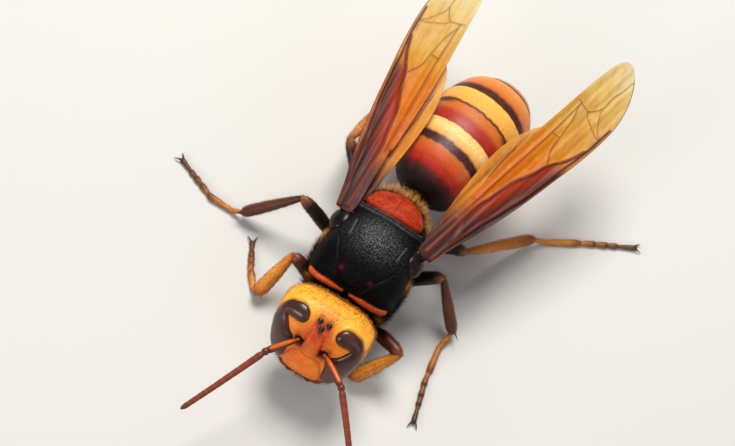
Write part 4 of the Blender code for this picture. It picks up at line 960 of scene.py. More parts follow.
def gasterPaint():
    material, tree, shader = newPaint("bandedGasterShell", 0.4, 0.28)
    pits = pitsOf(tree, 6.0)
    warp = maths(tree, "MULTIPLY_ADD", noiseOf(tree, 1.2, 4), 0.01, -0.005)
    place = maths(tree, "ADD", markOf(tree, "bandPlace"), warp)
    beyondBlack = colourRamp(tree, place, (0.1, 0.15), (0.14, 1))
    colour = colourRamp(tree, place, *[(at / gasterShape["bandScale"], *rgb) for at, *rgb in gasterShape["bands"]])
    under = layOver(tree, (96, 44, 18), noiseOf(tree, 0.8, 3), 1, (190, 98, 32))
    colour = layOver(tree, colour, "belly", 0.75, under)
    colour = layOver(tree, colour, "blotch", 1.5, (54, 20, 16), -0.2)
    mottle = colourRamp(tree, noiseOf(tree, 3.5, 4, 0.65), (0.46, 0), (0.72, 1))
    colour = layOver(tree, colour, maths(tree, "MULTIPLY", mottle, beyondBlack), 0.2, (150, 58, 18))
    inPits = maths(tree, "MULTIPLY", maths(tree, "MULTIPLY_ADD", pits, -0.35, 0.35, True), beyondBlack)
    colour = layOver(tree, colour, inPits, 1, (110, 38, 14))
    tree.links.new(maths(tree, "MULTIPLY_ADD", beyondBlack, -0.2, 0.6), shader.inputs["Roughness"])
    wear(tree, shader, colour, (pits, 0.02, 0.45), (noiseOf(tree, 8.0, 3, 0.6, (1, 0.35, 1)), 0.02, 0.5))
    return material


gasterSkin = makeGaster(gasterPaint())
finishPiece(gasterSkin, "gaster", *["gaster_" + str(number) for number in range(1, 7)])
print("gaster done")


wingShape = {
    "rootLeft": (4.8, 0.9, 10.5), "rootRight": (-4.75, 0.8, 10.5),
    "tipLeft": (14.3, 32.9, 15.3), "tipRight": (-6.4, 34.5, 15.3),
    # along the wing and across it, from the root
    "foreOutline": [(0.4, 0.95), (3, 1.35), (6.2, 2.0), (9.5, 2.5), (13, 2.9), (17, 3.2), (21.5, 3.5), (26, 3.4),
                    (29, 2.7), (31.3, 1.5), (32.8, 0.1), (33.1, -0.9), (32.2, -1.7), (29, -2.05), (23, -2.1),
                    (18.5, -2.1), (13.5, -1.85),
                    (8.9, -1.5), (8.55, -1.1), (8.0, -1.25), (4.5, -1.2), (0.4, -0.95)],
    "hindOutline": [(1.6, 0), (5, 0.6), (10, 1.1), (16, 1.2), (20.6, 0.6), (21.4, -0.6), (20.4, -2), (18, -2.9),
                    (15.2, -3.3),
                    (12.3, -3.15), (9, -2.6), (6.2, -2), (3.6, -1.5), (1.6, -0.9)],
    # each vein: half width, then its course
    "foreVeins": [(0.2, [(0.5, 0.75), (3.37, 0.95), (7.77, 1.5), (10.95, 2.0), (13.8, 2.4), (16.9, 2.65), (19.1, 2.85),
                         (22.4, 3.15), (26, 3.1)]),
                  (0.24, [(0.8, -0.2), (8.2, -0.3), (10, -0.03), (13.05, 0.3), (15.7, 1.1), (17.65, 1.5),
                          (19.9, 2.5), (22, 3.0)]),
                  (0.12, [(8.2, -0.8), (14, -0.9), (20.5, -0.95), (25.6, -1.25)]),
                  (0.11, [(17.7, 1.3), (19.34, 0.35), (21.2, -0.03), (23.5, -0.56), (25.2, -1.27)]),
                  (0.11, [(25.6, -1.7), (25.4, -0.23), (26, 0.33), (27.1, 0.79), (28.8, 0.64), (30.2, 0.86),
                          (31.8, 0.85)]),
                  (0.1, [(25.4, -0.23), (24.75, 0.83), (24.2, 2.48), (24.2, 3.0)]),
                  (0.1, [(27.1, 0.79), (26.2, 1.1), (24.75, 2.27), (24.3, 2.95)]), (0.1, [(20.9, 0.05), (20.6, -0.9)])],
    "hindVeins": [(0.16, [(2.0, -0.4), (8, -0.55), (14, -0.3), (19.8, -0.2)]),
                  (0.12, [(8, -0.6), (12, -1.7), (16.6, -2.3)]), (0.1, [(13.5, -0.35), (15, -1.2), (16.2, -2.2)]),
                  (0.12, [(3, 0.1), (9, 0.75), (15, 0.95), (19.4, 0.55)])],
    "foreDrop": 0.0, "hindDrop": 1.2, "foreRoll": 0.2, "hindRoll": 0.34,
    # stripes of colour along the forewing
    "darkFold": [(0.3, 0.8), (3.37, 0.95), (7.77, 1.6), (10.95, 2.1), (13.8, 2.5), (16.88, 2.8), (19.05, 3.05)],
    "foldShift": {"left": 0.25, "right": 0.0},
    "bandReach": {"left": 4.0, "right": 1.0},
    "paler": {"left": 0.03, "right": 0.12},
    "redStreak": [(6.5, -0.1), (10.8, 0.2), (13.16, 0.5), (15.22, 1.1), (17.54, 1.75)],
    "stigma": (23.5, 3.1),
    "length": 34,
    "thickness": 0.16,
    "veinHeight": 0.14,
    "rootHeight": 0.12,
    "lift": 0.36,
    "spacing": 0.13,
    "insets": (0.05, 0.12),
    # colour and opacity from the root out to the tip
    "foreTint": [(0.0, 110, 46, 16), (0.14, 158, 66, 10), (0.3, 184, 86, 6), (0.5, 196, 106, 8), (0.7, 198, 140, 30),
                 (0.86, 206, 168, 74), (1.0, 212, 194, 134)],
    "hindTint": [(0.0, 190, 104, 36), (0.3, 218, 140, 52), (0.6, 230, 168, 84)],
    "foreOpacity": (0.98, 0.9, 0.66),
    "hindOpacity": (0.86, 0.7, 0.55),
}


def wingFrame(sideName, sign, roll):
    title = sideName.capitalize()
    root, tip = np.array(wingShape["root" + title]), np.array(wingShape["tip" + title])
    way = unit(tip - root)
    outward = unit(unit(np.cross(way, [0, 0, 1]) * sign) - [0, 0, roll])
    normal = np.cross(outward, way)
    return root, way, outward, normal * (1 if normal[2] > 0 else -1)


def makeWing(kind, sideName, sign, material):
    shape, isFore = wingShape, kind == "fore"
    root, way, outward, normal = wingFrame(sideName, sign, shape[kind + "Roll"])
    outline = shape[kind + "Outline"]
    edge = smoothPath(outline + outline[:1], 260)[:-1]
    flat, faces = fillOutline(edge, shape["spacing"], shape["insets"])
    along, across = flat.T
    rim = signedDistance(edge, along, across)
    vein = 0.8 * bell(rim, 0.13) * smoothStep(across, 0.2, 1.0)
    for half, path in shape[kind + "Veins"]:
        near = distanceToPath(smoothPath(path, len(path) * 9), along, across)
        vein = np.maximum(vein, bell(near / half, 0.85) * (0.5 + half * 2.5))
    vein = np.clip(vein, 0, 1)
    foldPath = smoothPath(shape["darkFold"], 50) + [0, shape["foldShift"][sideName]]
    fold = distanceToPath(foldPath, along, across)
    # lengthwise pleats, and fine wrinkles out to the tip
    pleat = 0.06 * np.sin(across * 3.6 - along * 0.12) + 0.02 * np.sin(across * 9.0 + along * 0.3)
    pleat += 0.03 * np.sin(along * 0.9 + across * 2.2) * smoothStep(along, 14, 24) - 0.12 * bell(fold, 0.3) * isFore
    curl = 0.1 * np.minimum(across + 1, 0) ** 2
    lift = shape["lift"] - shape[kind + "Drop"] + curl + pleat * smoothStep(rim, 0.0, 0.5)
    raised = shape["veinHeight"] * vein + shape["rootHeight"] * (1 - smoothStep(along, 0.5, 9.0))
    thin = shape["thickness"] * (0.35 + 0.65 * smoothStep(rim, 0.0, 0.3))
    middle = root + along[:, None] * way + across[:, None] * outward + lift[:, None] * normal
    upper = middle + (thin / 2 + raised)[:, None] * normal
    lower = middle - (thin / 2 + raised * 0.8)[:, None] * normal
    # a brown band runs along the forewing, from its second vein to the fold and beyond
    veinAcross = np.interp(along, *np.array(shape["foreVeins"][1][1]).T)
    share = (across - veinAcross) / np.maximum(np.interp(along, *foldPath.T) - veinAcross, 0.2)
    reach = shape["bandReach"][sideName]
    fade = (1 - smoothStep(along, 17.5, 20.0)) * isFore
    stigmaAlong, stigmaAcross = shape["stigma"]
    marks = {
        "alongWing": along / shape["length"] + shape["paler"][sideName] * smoothStep(along, 15, 23), "vein": vein,
        "fold": bell(fold / (0.14 + 0.45 * (1 - smoothStep(along, 2, 14))), 1) * fade,
        "brown": smoothStep(share, -0.15, 0.15) * (1 - smoothStep(share, reach, reach + 0.25)) * fade,
        "bandShare": np.clip(share, 0, 1), "root": 1 - smoothStep(along, 4.0, 9.5),
        "redStreak": bell(distanceToPath(shape["redStreak"], along, across), 0.36) * fade,
        "stigma": bell(np.hypot((along - stigmaAlong) / 1.5, (across - stigmaAcross) * 2), 0.7) * isFore,
    }
    return closedSheet(kind + "Wing" + sideName.capitalize(), upper, lower, faces, material, marks)


def wingPaint(kind):
    material, tree, shader = newPaint(kind + "WingFilm", 0.42, 0.13)
    along, brown, fold, root, vein = (markOf(tree, key) for key in ("alongWing", "brown", "fold", "root", "vein"))
    streaks = noiseOf(tree, 1.1, 5, 0.6, (1.6, 0.35, 1))
    cloud = maths(tree, "MULTIPLY_ADD", noiseOf(tree, 0.35, 4, 0.6), 0.3, -0.15)
    film = colourRamp(tree, maths(tree, "ADD", along, cloud), *wingShape[kind + "Tint"])
    band = colourRamp(tree, markOf(tree, "bandShare"), (0.0, 166, 52, 16), (0.3, 132, 36, 16), (0.6, 80, 26, 24),
                      (0.82, 44, 17, 20), (1.0, 20, 9, 11))
    band = layOver(tree, band, colourRamp(tree, along, (0.1, 0.75), (0.36, 0)), 1, (56, 23, 24))
    # the root is dark mauve, with pink streaks of painted highlight
    mauveWithPaintedHighlights = layOver(tree, (56, 27, 28), streaks, 3.0, (130, 88, 84), -1.6)
    for share, strength, top, *offset in (
            # darker orange streaks in the film, then pale yellow patches that are painted highlights
            (streaks, 1.4, (166, 72, 14), -0.6), (noiseOf(tree, 0.8, 3), 1.3, (232, 178, 76), -0.72),
            ("redStreak", 0.6, (170, 40, 12)), (brown, 0.94, band), (root, 0.9, mauveWithPaintedHighlights), (fold, 0.95, (20, 9, 12)),
            ("stigma", 0.7, (140, 62, 14)), (vein, 1.5, (98, 36, 14), -0.3)):
        film = layOver(tree, film, share, strength, top, *offset)
    clear = colourRamp(tree, along, *zip((0.2, 0.5, 1.0), wingShape[kind + "Opacity"]))
    dense = maths(tree, "MAXIMUM", maths(tree, "MAXIMUM", brown, fold), maths(tree, "MAXIMUM", root, vein))
    tree.links.new(maths(tree, "MAXIMUM", clear, maths(tree, "MULTIPLY", dense, 0.98)), shader.inputs["Alpha"])
    wear(tree, shader, film, (streaks, 0.06, 0.3), (noiseOf(tree, 14.0, 2), 0.015, 0.25))
    return material


wingPaints = {kind: wingPaint(kind) for kind in ("fore", "hind")}
for sideName, sign in bodySides:
    for kind, material in wingPaints.items():
        finishPiece(makeWing(kind, sideName, sign, material), "wing", kind + "wing_" + sideName)
print("wings done")


feelerShape = {
    "elbow": {"left": (4.75, -16.2, 10.2), "right": (-3.6, -17.3, 10.6)},
    "bend": {"left": (8.2, -20.2, 9.2), "right": (-5.6, -21.6, 9.0)},
    "tip": {"left": (11.15, -23.6, 6.5), "right": (-7.85, -26.2, 7.5)},
    "joints": 10,
    "sides": 28,
    "lashRadii": (0.37, 0.28),
    "seamDepth": 0.09,
    "seamWidth": 0.05,
    "tipFrom": 0.93,
    "scape": [(0.0, 0.22), (0.06, 0.3), (0.12, 0.2), (0.2, 0.27), (0.5, 0.36), (0.85, 0.4), (0.96, 0.36), (1.0, 0.24)],
}


def makeFeeler(sideName, sign, scapePaint, lashPaint):
    # first joint, small second joint at the elbow, then the ringed lash
    title, sides = sideName.capitalize(), feelerShape["sides"]
    across, height = headShape["socket"]
    where = np.array(faceRun(sign * across, height)), np.array(height)
    start = headPoints(*where) - headOutward(*where) * 0.35
    elbow, bend, tip = (np.array(feelerShape[key][sideName]) for key in ("elbow", "bend", "tip"))
    way, length = unit(bend - elbow), np.linalg.norm(elbow - start)
    share = np.linspace(0, 1, 90)
    sag = np.sin(share * math.pi)[:, None] * [0, 0, 0.18]
    path = start + (elbow - start) * share[:, None] * (1 - 0.16 / length) + sag
    radius = smoothTable(feelerShape["scape"], share)[:, 0]
    # the two flanks of the first joints darken: painted shade of a round shank
    edge = smoothStep(np.abs(np.cos(np.linspace(0, 2 * math.pi, sides, endpoint=False))), 0.3, 0.85)
    scape = skinPiece("scape" + title, tubeRows(path, radius, radius, sides), scapePaint,
                      {"place": np.repeat(share[:, None], sides, 1), "edge": np.tile(edge, (90, 1))})
    knee = smoothPath([elbow - (elbow - start) / length * 0.3, elbow + way * 0.1, elbow + way * 0.45], 20)
    swell = 0.37 * np.sqrt(np.clip(1 - np.linspace(-0.9, 0.9, 20) ** 2, 0.05, 1)) + 0.03
    pedicel = skinPiece("pedicel" + title, tubeRows(knee, swell, swell, sides), scapePaint,
                        {"place": np.ones((20, sides)), "edge": np.tile(edge * 0.5, (20, 1))})
    joints, tipFrom = feelerShape["joints"], feelerShape["tipFrom"]
    t = np.linspace(0, 1, joints * 16 + 1)
    first = elbow + way * 0.34
    lashPath = first * (1 - t)[:, None] ** 2 + bend * (2 * t * (1 - t))[:, None] + tip * t[:, None] ** 2
    inJoint = (t * joints) % 1.0
    seam = bell(np.minimum(inJoint, 1 - inJoint), feelerShape["seamWidth"])
    tipRound = np.sqrt(np.clip(1 - ((t - tipFrom) / (1.001 - tipFrom)) ** 2 * (t > tipFrom), 0.02, 1))
    thick, thin = feelerShape["lashRadii"]
    radius = (thick - (thick - thin) * t) * (1 - feelerShape["seamDepth"] * seam) * tipRound
    radius *= 0.72 + 0.28 * smoothStep(t, 0.0, 0.05)
    lash = skinPiece("lash" + title, tubeRows(lashPath, radius, radius, sides), lashPaint,
                     {"place": np.repeat(t[:, None], sides, 1), "seam": np.repeat(seam[:, None], sides, 1)})
    return joinPieces("scape" + title, [scape, pedicel]), lash


def feelerPaints():
    scape, tree, shader = newPaint("scapeShell", 0.34, 0.35)
    colour = colourRamp(tree, markOf(tree, "place"), (0.0, 60, 22, 10), (0.1, 160, 60, 14), (0.4, 214, 106, 30),
                        (0.86, 196, 88, 26), (0.97, 90, 32, 20))
    colour = layOver(tree, colour, noiseOf(tree, 2.0, 3), 0.3, (150, 52, 12))
    # painted shade along the flanks
    colour = layOver(tree, colour, "edge", 0.95, (70, 20, 18))
    wear(tree, shader, colour, (noiseOf(tree, 9.0, 3), 0.015, 0.4))
    lash, tree, shader = newPaint("lashShell", 0.52, 0.35)
    colour = colourRamp(tree, markOf(tree, "place"), (0.0, 110, 38, 22), (0.25, 136, 52, 30), (0.8, 128, 52, 28),
                        (1.0, 100, 48, 26))
    colour = layOver(tree, colour, "seam", 0.3, (178, 108, 70))
    colour = layOver(tree, colour, noiseOf(tree, 9.0, 3), 0.45, (84, 34, 16))
    wear(tree, shader, colour, (noiseOf(tree, 12.0, 3), 0.02, 0.5))
    return scape, lash


feelerFinishes = feelerPaints()
for sideName, sign in bodySides:
    scape, lash = makeFeeler(sideName, sign, *feelerFinishes)
    finishPiece(scape, "feeler", "antenna_scape_" + sideName)
    finishPiece(lash, "feeler", "antenna_flagellum_" + sideName)
print("feelers done")


legShape = {
    # root, hip, knee and ankle, then three points along the foot
    "foreLeft": [(1.6, -4.6, 5.2), (3.0, -5.2, 2.6), (8.2, -7.5, 5.5), (5.1, -10.65, 1.15),
                 (3.9, -10.4, 0.34), (1.2, -9.7, 0.31), (-1, -9, 0.28)],
    "foreRight": [(-1.6, -4.6, 5.2), (-3.0, -4.6, 2.6), (-7.03, -4, 5.4), (-8.4, -8, 1.15),
                  (-9.2, -7.3, 0.34), (-10.5, -5.6, 0.31), (-12.1, -2.5, 0.28)],
    "midLeft": [(2.2, 0.2, 4.8), (3.6, 0.8, 2.5), (7.9, 2.5, 6.4), (11.8, 0.1, 1.15),
                (11.45, -1.9, 0.34), (12, -6.3, 0.31), (13.3, -11.6, 0.28)],
    "midRight": [(-2.2, 0.2, 4.8), (-3.7, 1.2, 2.5), (-9.5, 1.9, 6.5), (-14.6, -0.7, 1.15),
                 (-15.9, -0.8, 0.34), (-18.5, -0.7, 0.31), (-24, 1.6, 0.28)],
    "hindLeft": [(2.2, 4.6, 5.2), (3.6, 6.3, 2.9), (8.55, 7.8, 4.3), (14.3, 15.4, 1.15),
                 (15.6, 16.3, 0.34), (20.1, 19.2, 0.31), (25.5, 22.2, 0.28)],
    "hindRight": [(-2.2, 4.6, 5.2), (-3.6, 6.3, 2.9), (-8.75, 10.8, 7.2), (-8.35, 18.5, 1.15),
                  (-8.5, 20, 0.34), (-8.9, 24, 0.31), (-9.3, 29, 0.28)],
    "coxa": [(0, 1.2), (0.4, 1.12), (0.75, 0.92), (0.95, 0.62), (1, 0.4)],
    "femur": [(0, 0.36), (0.08, 0.5), (0.22, 0.6), (0.5, 0.76), (0.8, 0.7), (0.95, 0.56), (1, 0.34)],
    "tibia": [(0, 0.24), (0.07, 0.36), (0.2, 0.44), (0.55, 0.6), (0.85, 0.64), (0.97, 0.52), (1, 0.3)],
    "shinSizes": {"fore": 1.2, "mid": 1.0, "hind": 1.0},
    "footSizes": {"fore": 1.05, "mid": 0.95, "hind": 1.0},
    "spurs": {"fore": 1, "mid": 2, "hind": 2},
    "footJoints": (0, 0.44, 0.58, 0.69, 0.78, 0.95),
    "footRadii": (0.38, 0.36, 0.36, 0.34, 0.3),
    "footProfile": [(0, 0.5), (0.2, 0.68), (0.7, 0.92), (0.93, 1.0), (1, 0.72)],
    "sides": 30,
    "thighBow": 0.5,
    "femurStep": 0.45,
    "spurRadius": 0.15,
    "spurFloor": 0.32,
    "clawRadii": (0.15, 0.03),
    "clawsFrom": 0.93,
    "padSize": (0.17, 0.34),
    # finishes of the thigh, the shin and the foot
    "finishes": {"fore": ("redThigh", "foreShin", "orangeFoot"), "mid": ("blackThigh", "midShin", "shadedBrownFoot"),
                 "hind": ("blackThigh", "hindShin", "orangeFoot")},
    # each finish: colours along the part, then the colour of its mottling
    "tints": {
        "blackThigh": ([(0, 20, 12, 10), (0.86, 24, 13, 11), (0.93, 110, 62, 36), (1, 146, 88, 52)], (46, 24, 17)),
        "redThigh": ([(0, 28, 12, 9), (0.6, 38, 14, 10), (0.86, 76, 27, 15), (1, 146, 74, 36)], (60, 22, 14)),
        "foreShin": ([(0, 204, 110, 34), (0.4, 236, 152, 52), (0.75, 232, 146, 48), (1, 190, 92, 28)], (168, 84, 26)),
        "midShin": ([(0, 66, 36, 22), (0.5, 98, 56, 34), (1, 80, 44, 28)], (52, 28, 19)),
        "hindShin": ([(0, 160, 90, 38), (0.3, 222, 142, 62), (0.7, 204, 120, 50), (1, 128, 68, 30)], (150, 80, 32)),
        "orangeFoot": ([(0, 222, 142, 50), (0.42, 212, 136, 54), (0.55, 158, 98, 44), (0.8, 110, 72, 40),
                        (1, 66, 48, 36)], (150, 84, 34)),
        # a darker copy of the orange foot, put on the mid feet as painted shade
        "shadedBrownFoot": ([(0, 200, 124, 44), (0.42, 180, 108, 42), (0.55, 132, 80, 36), (0.8, 94, 60, 34),
                       (1, 58, 42, 33)], (120, 68, 30)),
    },
}


def roundedTube(name, path, radii, material, marks, sides=legShape["sides"], hair=None):
    # tube with round ends; hair gives the amount, length and tone of its coat
    path, radii = np.asarray(path, float), np.asarray(radii, float)
    first, last = unit(path[0] - path[1]), unit(path[-1] - path[-2])
    turn = np.linspace(0, math.pi / 2, 6)[1:]
    head = [path[0] + first * radii[0] * math.sin(a) * 0.8 for a in turn[::-1]]
    tail = [path[-1] + last * radii[-1] * math.sin(a) * 0.8 for a in turn]
    whole = np.vstack([head, path, tail])
    full = np.concatenate([radii[0] * np.cos(turn[::-1]) + 0.004, radii, radii[-1] * np.cos(turn) + 0.004])
    padded = {key: np.repeat(np.pad(values, len(turn), "edge")[:, None], sides, 1) for key, values in marks.items()}
    if hair:
        padded["hairLie"] = np.repeat(unit(np.gradient(whole, axis=0))[:, None], sides, 1)
        for key, value in zip(("hairAmount", "hairLength", "hairTone"), hair):
            padded[key] = np.full((len(whole), sides), value)
    return skinPiece(name, tubeRows(whole, full, full, sides), material, padded)


def spinePiece(name, start, end, radius, material, sides=8):
    share = np.linspace(0, 1, 7)
    radii = radius * (1 - share * 0.93)
    return skinPiece(name, tubeRows(start + (end - start) * share[:, None], radii, radii, sides), material,
                     {"place": np.full((7, sides), 0.85)})


def makeLeg(pair, sideName, material):
    shape, title = legShape, pair.capitalize() + sideName.capitalize()
    thighPaint, shinPaint, footPaint = (material[name] for name in shape["finishes"][pair])
    root, hip, knee, ankle, *toes = [np.array(place, float) for place in shape[pair + sideName.capitalize()]]
    share = np.linspace(0, 1, 40)
    coxa = roundedTube("coxa" + title, root + (hip - root) * share[:, None], smoothTable(shape["coxa"], share)[:, 0],
                       thighPaint, {"place": share * 0.2}, hair=(0.8, 0.5, 0.35))
    start = hip + unit(knee - hip) * shape["femurStep"]
    ringPath = smoothPath([hip + (root - hip) * 0.12, hip, start + (knee - hip) * 0.04], 16)
    ring = roundedTube("ring" + title, ringPath, np.linspace(0.55, 0.46, 16), thighPaint, {"place": np.full(16, 0.25)})
    share = np.linspace(0, 1, 80)
    bow = np.sin(math.pi * share)[:, None] * [0, 0, shape["thighBow"]]
    femur = roundedTube("femur" + title, start + (knee - start) * share[:, None] + bow,
                        smoothTable(shape["femur"], share)[:, 0], thighPaint, {"place": 0.3 + 0.7 * share},
                        hair=(0.5, 0.32, 0.35))
    thigh = joinPieces("thigh" + title, [femur, ring, coxa])

    size = shape["shinSizes"][pair]
    parts = [roundedTube("tibia" + title, knee + (ankle - knee) * share[:, None],
                         smoothTable(shape["tibia"], share)[:, 0] * size, shinPaint, {"place": share},
                         hair=(0.9, 0.3, 0.5 if pair == "hind" else 0.42))]
    shank = unit(ankle - knee)
    square = unit(np.cross(shank, toes[0] - ankle))
    for number in range(shape["spurs"][pair]):
        aside = square * (1 - 2 * number)
        base = knee + (ankle - knee) * 0.92 + aside * 0.4 * size
        point = base + shank * 1.3 + aside * 0.6
        point[2] = max(point[2], shape["spurFloor"])
        parts.append(spinePiece("spur" + str(number), base, point, shape["spurRadius"], shinPaint))
    shin = joinPieces("shin" + title, parts)

    path = np.vstack([ankle] + toes)
    length, size = runAlong(*path.T)[-1], shape["footSizes"][pair]
    share = np.linspace(0, 1, 22)
    profile = smoothTable(shape["footProfile"], share)[:, 0]
    parts = []
    for number, (low, high) in enumerate(zip(shape["footJoints"], shape["footJoints"][1:])):
        course = pointsAlong(path, (low + (high - low) * (share * 1.06 - 0.03)) * length)
        marks = {"place": low + (high - low) * share, "joint": smoothStep(share, 0.72, 0.95)}
        parts.append(roundedTube("foot" + str(number), course, profile * shape["footRadii"][number] * size, footPaint,
                                 marks, 24, (1.0, 0.25, 0.46)))
    foot = joinPieces("foot" + title, parts)

    toe, ahead = pointsAlong(path, [shape["clawsFrom"] * length])[0], unit(path[-1] - path[-2])
    aside = unit(np.cross(ahead, [0, 0, 1]))
    claws = []
    for sign in (1, -1):
        course = smoothPath([toe, toe + ahead * 0.45 + aside * 0.3 * sign + [0, 0, 0.12],
                             toe + ahead * 0.95 + aside * 0.55 * sign - [0, 0, 0.12]], 14)
        claws.append(roundedTube("claw" + str(sign), course, np.linspace(*shape["clawRadii"], 14), footPaint,
                                 {"place": np.ones(14), "joint": np.ones(14)}, 12))
    claws.append(domePiece("pad", toe + ahead * 0.1 + [0, 0, 0.06], ahead, *shape["padSize"], footPaint, 16, 8))
    claw = joinPieces("claws" + title, claws)

    for piece in (thigh, shin, foot, claw):  # nothing reaches below the floor
        points = np.empty(len(piece.data.vertices) * 3)
        piece.data.vertices.foreach_get("co", points)
        points[2::3] = np.maximum(points[2::3], 0.0)
        piece.data.vertices.foreach_set("co", points)
    cadName = "leg_" + sideName + "_" + pair + "_"
    finishPiece(thigh, "thigh", cadName + "coxa", cadName + "femur")
    finishPiece(shin, "shin", cadName + "tibia")
    finishPiece(foot, "foot", cadName + "tarsus")
    finishPiece(claw, "foot")
    return {"thigh": thigh, "shin": shin, "foot": foot}


def legPaint(name, stops, mottling):
    material, tree, shader = newPaint(name, 0.36, 0.3)
    colour = colourRamp(tree, markOf(tree, "place"), *stops)
    colour = layOver(tree, colour, noiseOf(tree, 1.6, 4), 1.6, mottling, -0.7)
    colour = layOver(tree, colour, "joint", 0.6, (42, 18, 12))
    wear(tree, shader, colour, (pitsOf(tree, 7.0), 0.02, 0.4), (noiseOf(tree, 8.0, 3), 0.02, 0.4))
    return material


legPaints = {name: legPaint(name, *tint) for name, tint in legShape["tints"].items()}
legs = {}
for pair in ("fore", "mid", "hind"):
    for sideName, _ in bodySides:
        legs[pair.capitalize() + sideName.capitalize()] = makeLeg(pair, sideName, legPaints)
print("legs done")


hairShape = {
    "seed": 5,
    "sides": 3,
    # coats: hairs per square metre, length and thickness of a hair in metres, lean and disorder
    "headHair": {"density": 52e6, "length": 0.001, "thickness": 0.0003, "lean": 1.0, "disorder": 0.35},
    "chestHair": {"density": 60e6, "length": 0.001, "thickness": 0.00032, "lean": 0.9, "disorder": 0.45},
    "gasterHair": {"density": 22e6, "length": 0.001, "thickness": 0.00028, "lean": 1.6, "disorder": 0.3},
    "legHair": {"density": 46e6, "length": 0.001, "thickness": 0.0003, "lean": 1.2, "disorder": 0.35},
}
# the node group's inputs, and the settings they take
hairInputs = {"Hairs per area": "density", "Length": "length", "Thickness": "thickness", "Lean": "lean",
              "Disorder": "disorder"}


def hairTuft():
    # one bent, tapered hair of unit length along +Z, leaning towards +X
    sides = hairShape["sides"]
    points, faces = [], []
    for t, radius in ((0.0, 1.0), (0.5, 0.72)):
        for corner in range(sides):
            turn = 2 * math.pi * corner / sides
            points.append((0.3 * t * t + 0.05 * radius * math.cos(turn), 0.05 * radius * math.sin(turn), t))
    points.append((0.3, 0.0, 1.0))
    for corner in range(sides):
        after = (corner + 1) % sides
        faces.append((corner, after, sides + after, sides + corner))
        faces.append((sides + corner, sides + after, 2 * sides))
    faces.append(tuple(range(sides))[::-1])
    mesh = bpy.data.meshes.new("hairTuft")
    mesh.from_pydata(points, [], faces)
    layer = mesh.uv_layers.new(name="tuftMap")
    for loop in mesh.loops:
        x, y, z = points[loop.vertex_index]
        layer.data[loop.index].uv = (0.5 + (x - 0.3 * z * z) * 4 + y * 2, z)
    mesh.shade_smooth()
    return newObject("hairTuft", mesh, newPaint("tuftBlank")[0])


def hairTree(name, tuft, material, settings):
    # scatters tufts over a skin, each leaning back along the skin's lie, and keeps their map for baking
    tree = bpy.data.node_groups.new(name, "GeometryNodeTree")
    tree.interface.new_socket(name="Skin", in_out="INPUT", socket_type="NodeSocketGeometry")
    for label, key in hairInputs.items():
        made = tree.interface.new_socket(name=label, in_out="INPUT", socket_type="NodeSocketFloat")
        made.default_value = settings[key]
    tree.interface.new_socket(name="Coat", in_out="OUTPUT", socket_type="NodeSocketGeometry")
    inlet, outlet = tree.nodes.new("NodeGroupInput"), tree.nodes.new("NodeGroupOutput")
    density, length, thickness, lean, disorder = list(inlet.outputs)[1:6]

    def stored(label, kind="FLOAT"):
        return addNode(tree, "GeometryNodeInputNamedAttribute", {"Name": label}, data_type=kind).outputs[0]

    def vectors(operation, first, **inputs):
        return addNode(tree, "ShaderNodeVectorMath", {0: first, **inputs}, operation=operation).outputs[0]

    def plus(first, second):
        return addNode(tree, "ShaderNodeVectorMath", {0: first, 1: second}, operation="ADD").outputs[0]

    spread = addNode(tree, "GeometryNodeDistributePointsOnFaces", {
        "Mesh": inlet.outputs[0], "Density": maths(tree, "MULTIPLY", stored("hairAmount"), density),
        "Seed": hairShape["seed"]})
    anyWay = addNode(tree, "FunctionNodeRandomValue", {"Min": (-1.0, -1.0, -1.0), "Max": (1.0, 1.0, 1.0), "Seed": 3},
                     data_type="FLOAT_VECTOR").outputs[0]
    anySize = addNode(tree, "FunctionNodeRandomValue", {2: 0.6, 3: 1.2, "Seed": 4}, data_type="FLOAT").outputs[1]
    normal = spread.outputs["Normal"]
    way = plus(vectors("SCALE", stored("hairLie", "FLOAT_VECTOR"), Scale=lean), normal)
    way = vectors("NORMALIZE", plus(way, vectors("SCALE", anyWay, Scale=disorder)))
    upright = addNode(tree, "FunctionNodeAlignRotationToVector", {"Vector": way}, axis="Z").outputs[0]
    inward = vectors("SCALE", normal, Scale=-1.0)
    turned = addNode(tree, "FunctionNodeAlignRotationToVector", {"Rotation": upright, "Vector": inward},
                     axis="X", pivot_axis="Z").outputs[0]
    long = maths(tree, "MULTIPLY", maths(tree, "MULTIPLY", stored("hairLength"), length), anySize)
    wide = maths(tree, "MULTIPLY", maths(tree, "POWER", maths(tree, "MULTIPLY", long, 1000.0), 0.35), thickness)
    size = addNode(tree, "ShaderNodeCombineXYZ", {"X": wide, "Y": wide, "Z": long}).outputs[0]
    tuftInfo = addNode(tree, "GeometryNodeObjectInfo", {"Object": tuft})
    placed = addNode(tree, "GeometryNodeInstanceOnPoints", {
        "Points": spread.outputs["Points"], "Instance": tuftInfo.outputs["Geometry"], "Rotation": turned,
        "Scale": size})
    whole = addNode(tree, "GeometryNodeRealizeInstances", {0: placed.outputs[0]})
    onTuft = vectors("SCALE", stored("tuftMap", "FLOAT_VECTOR"), Scale=0.003)
    baked = addNode(tree, "GeometryNodeStoreNamedAttribute", {
        "Geometry": whole.outputs[0], "Name": "OFBake", "Value": plus(stored("skinMap", "FLOAT_VECTOR"), onTuft)},
        data_type="FLOAT2", domain="CORNER")
    dressed = addNode(tree, "GeometryNodeSetMaterial", {"Geometry": baked.outputs[0], "Material": material})
    tree.links.new(dressed.outputs[0], outlet.inputs[0])
    return tree


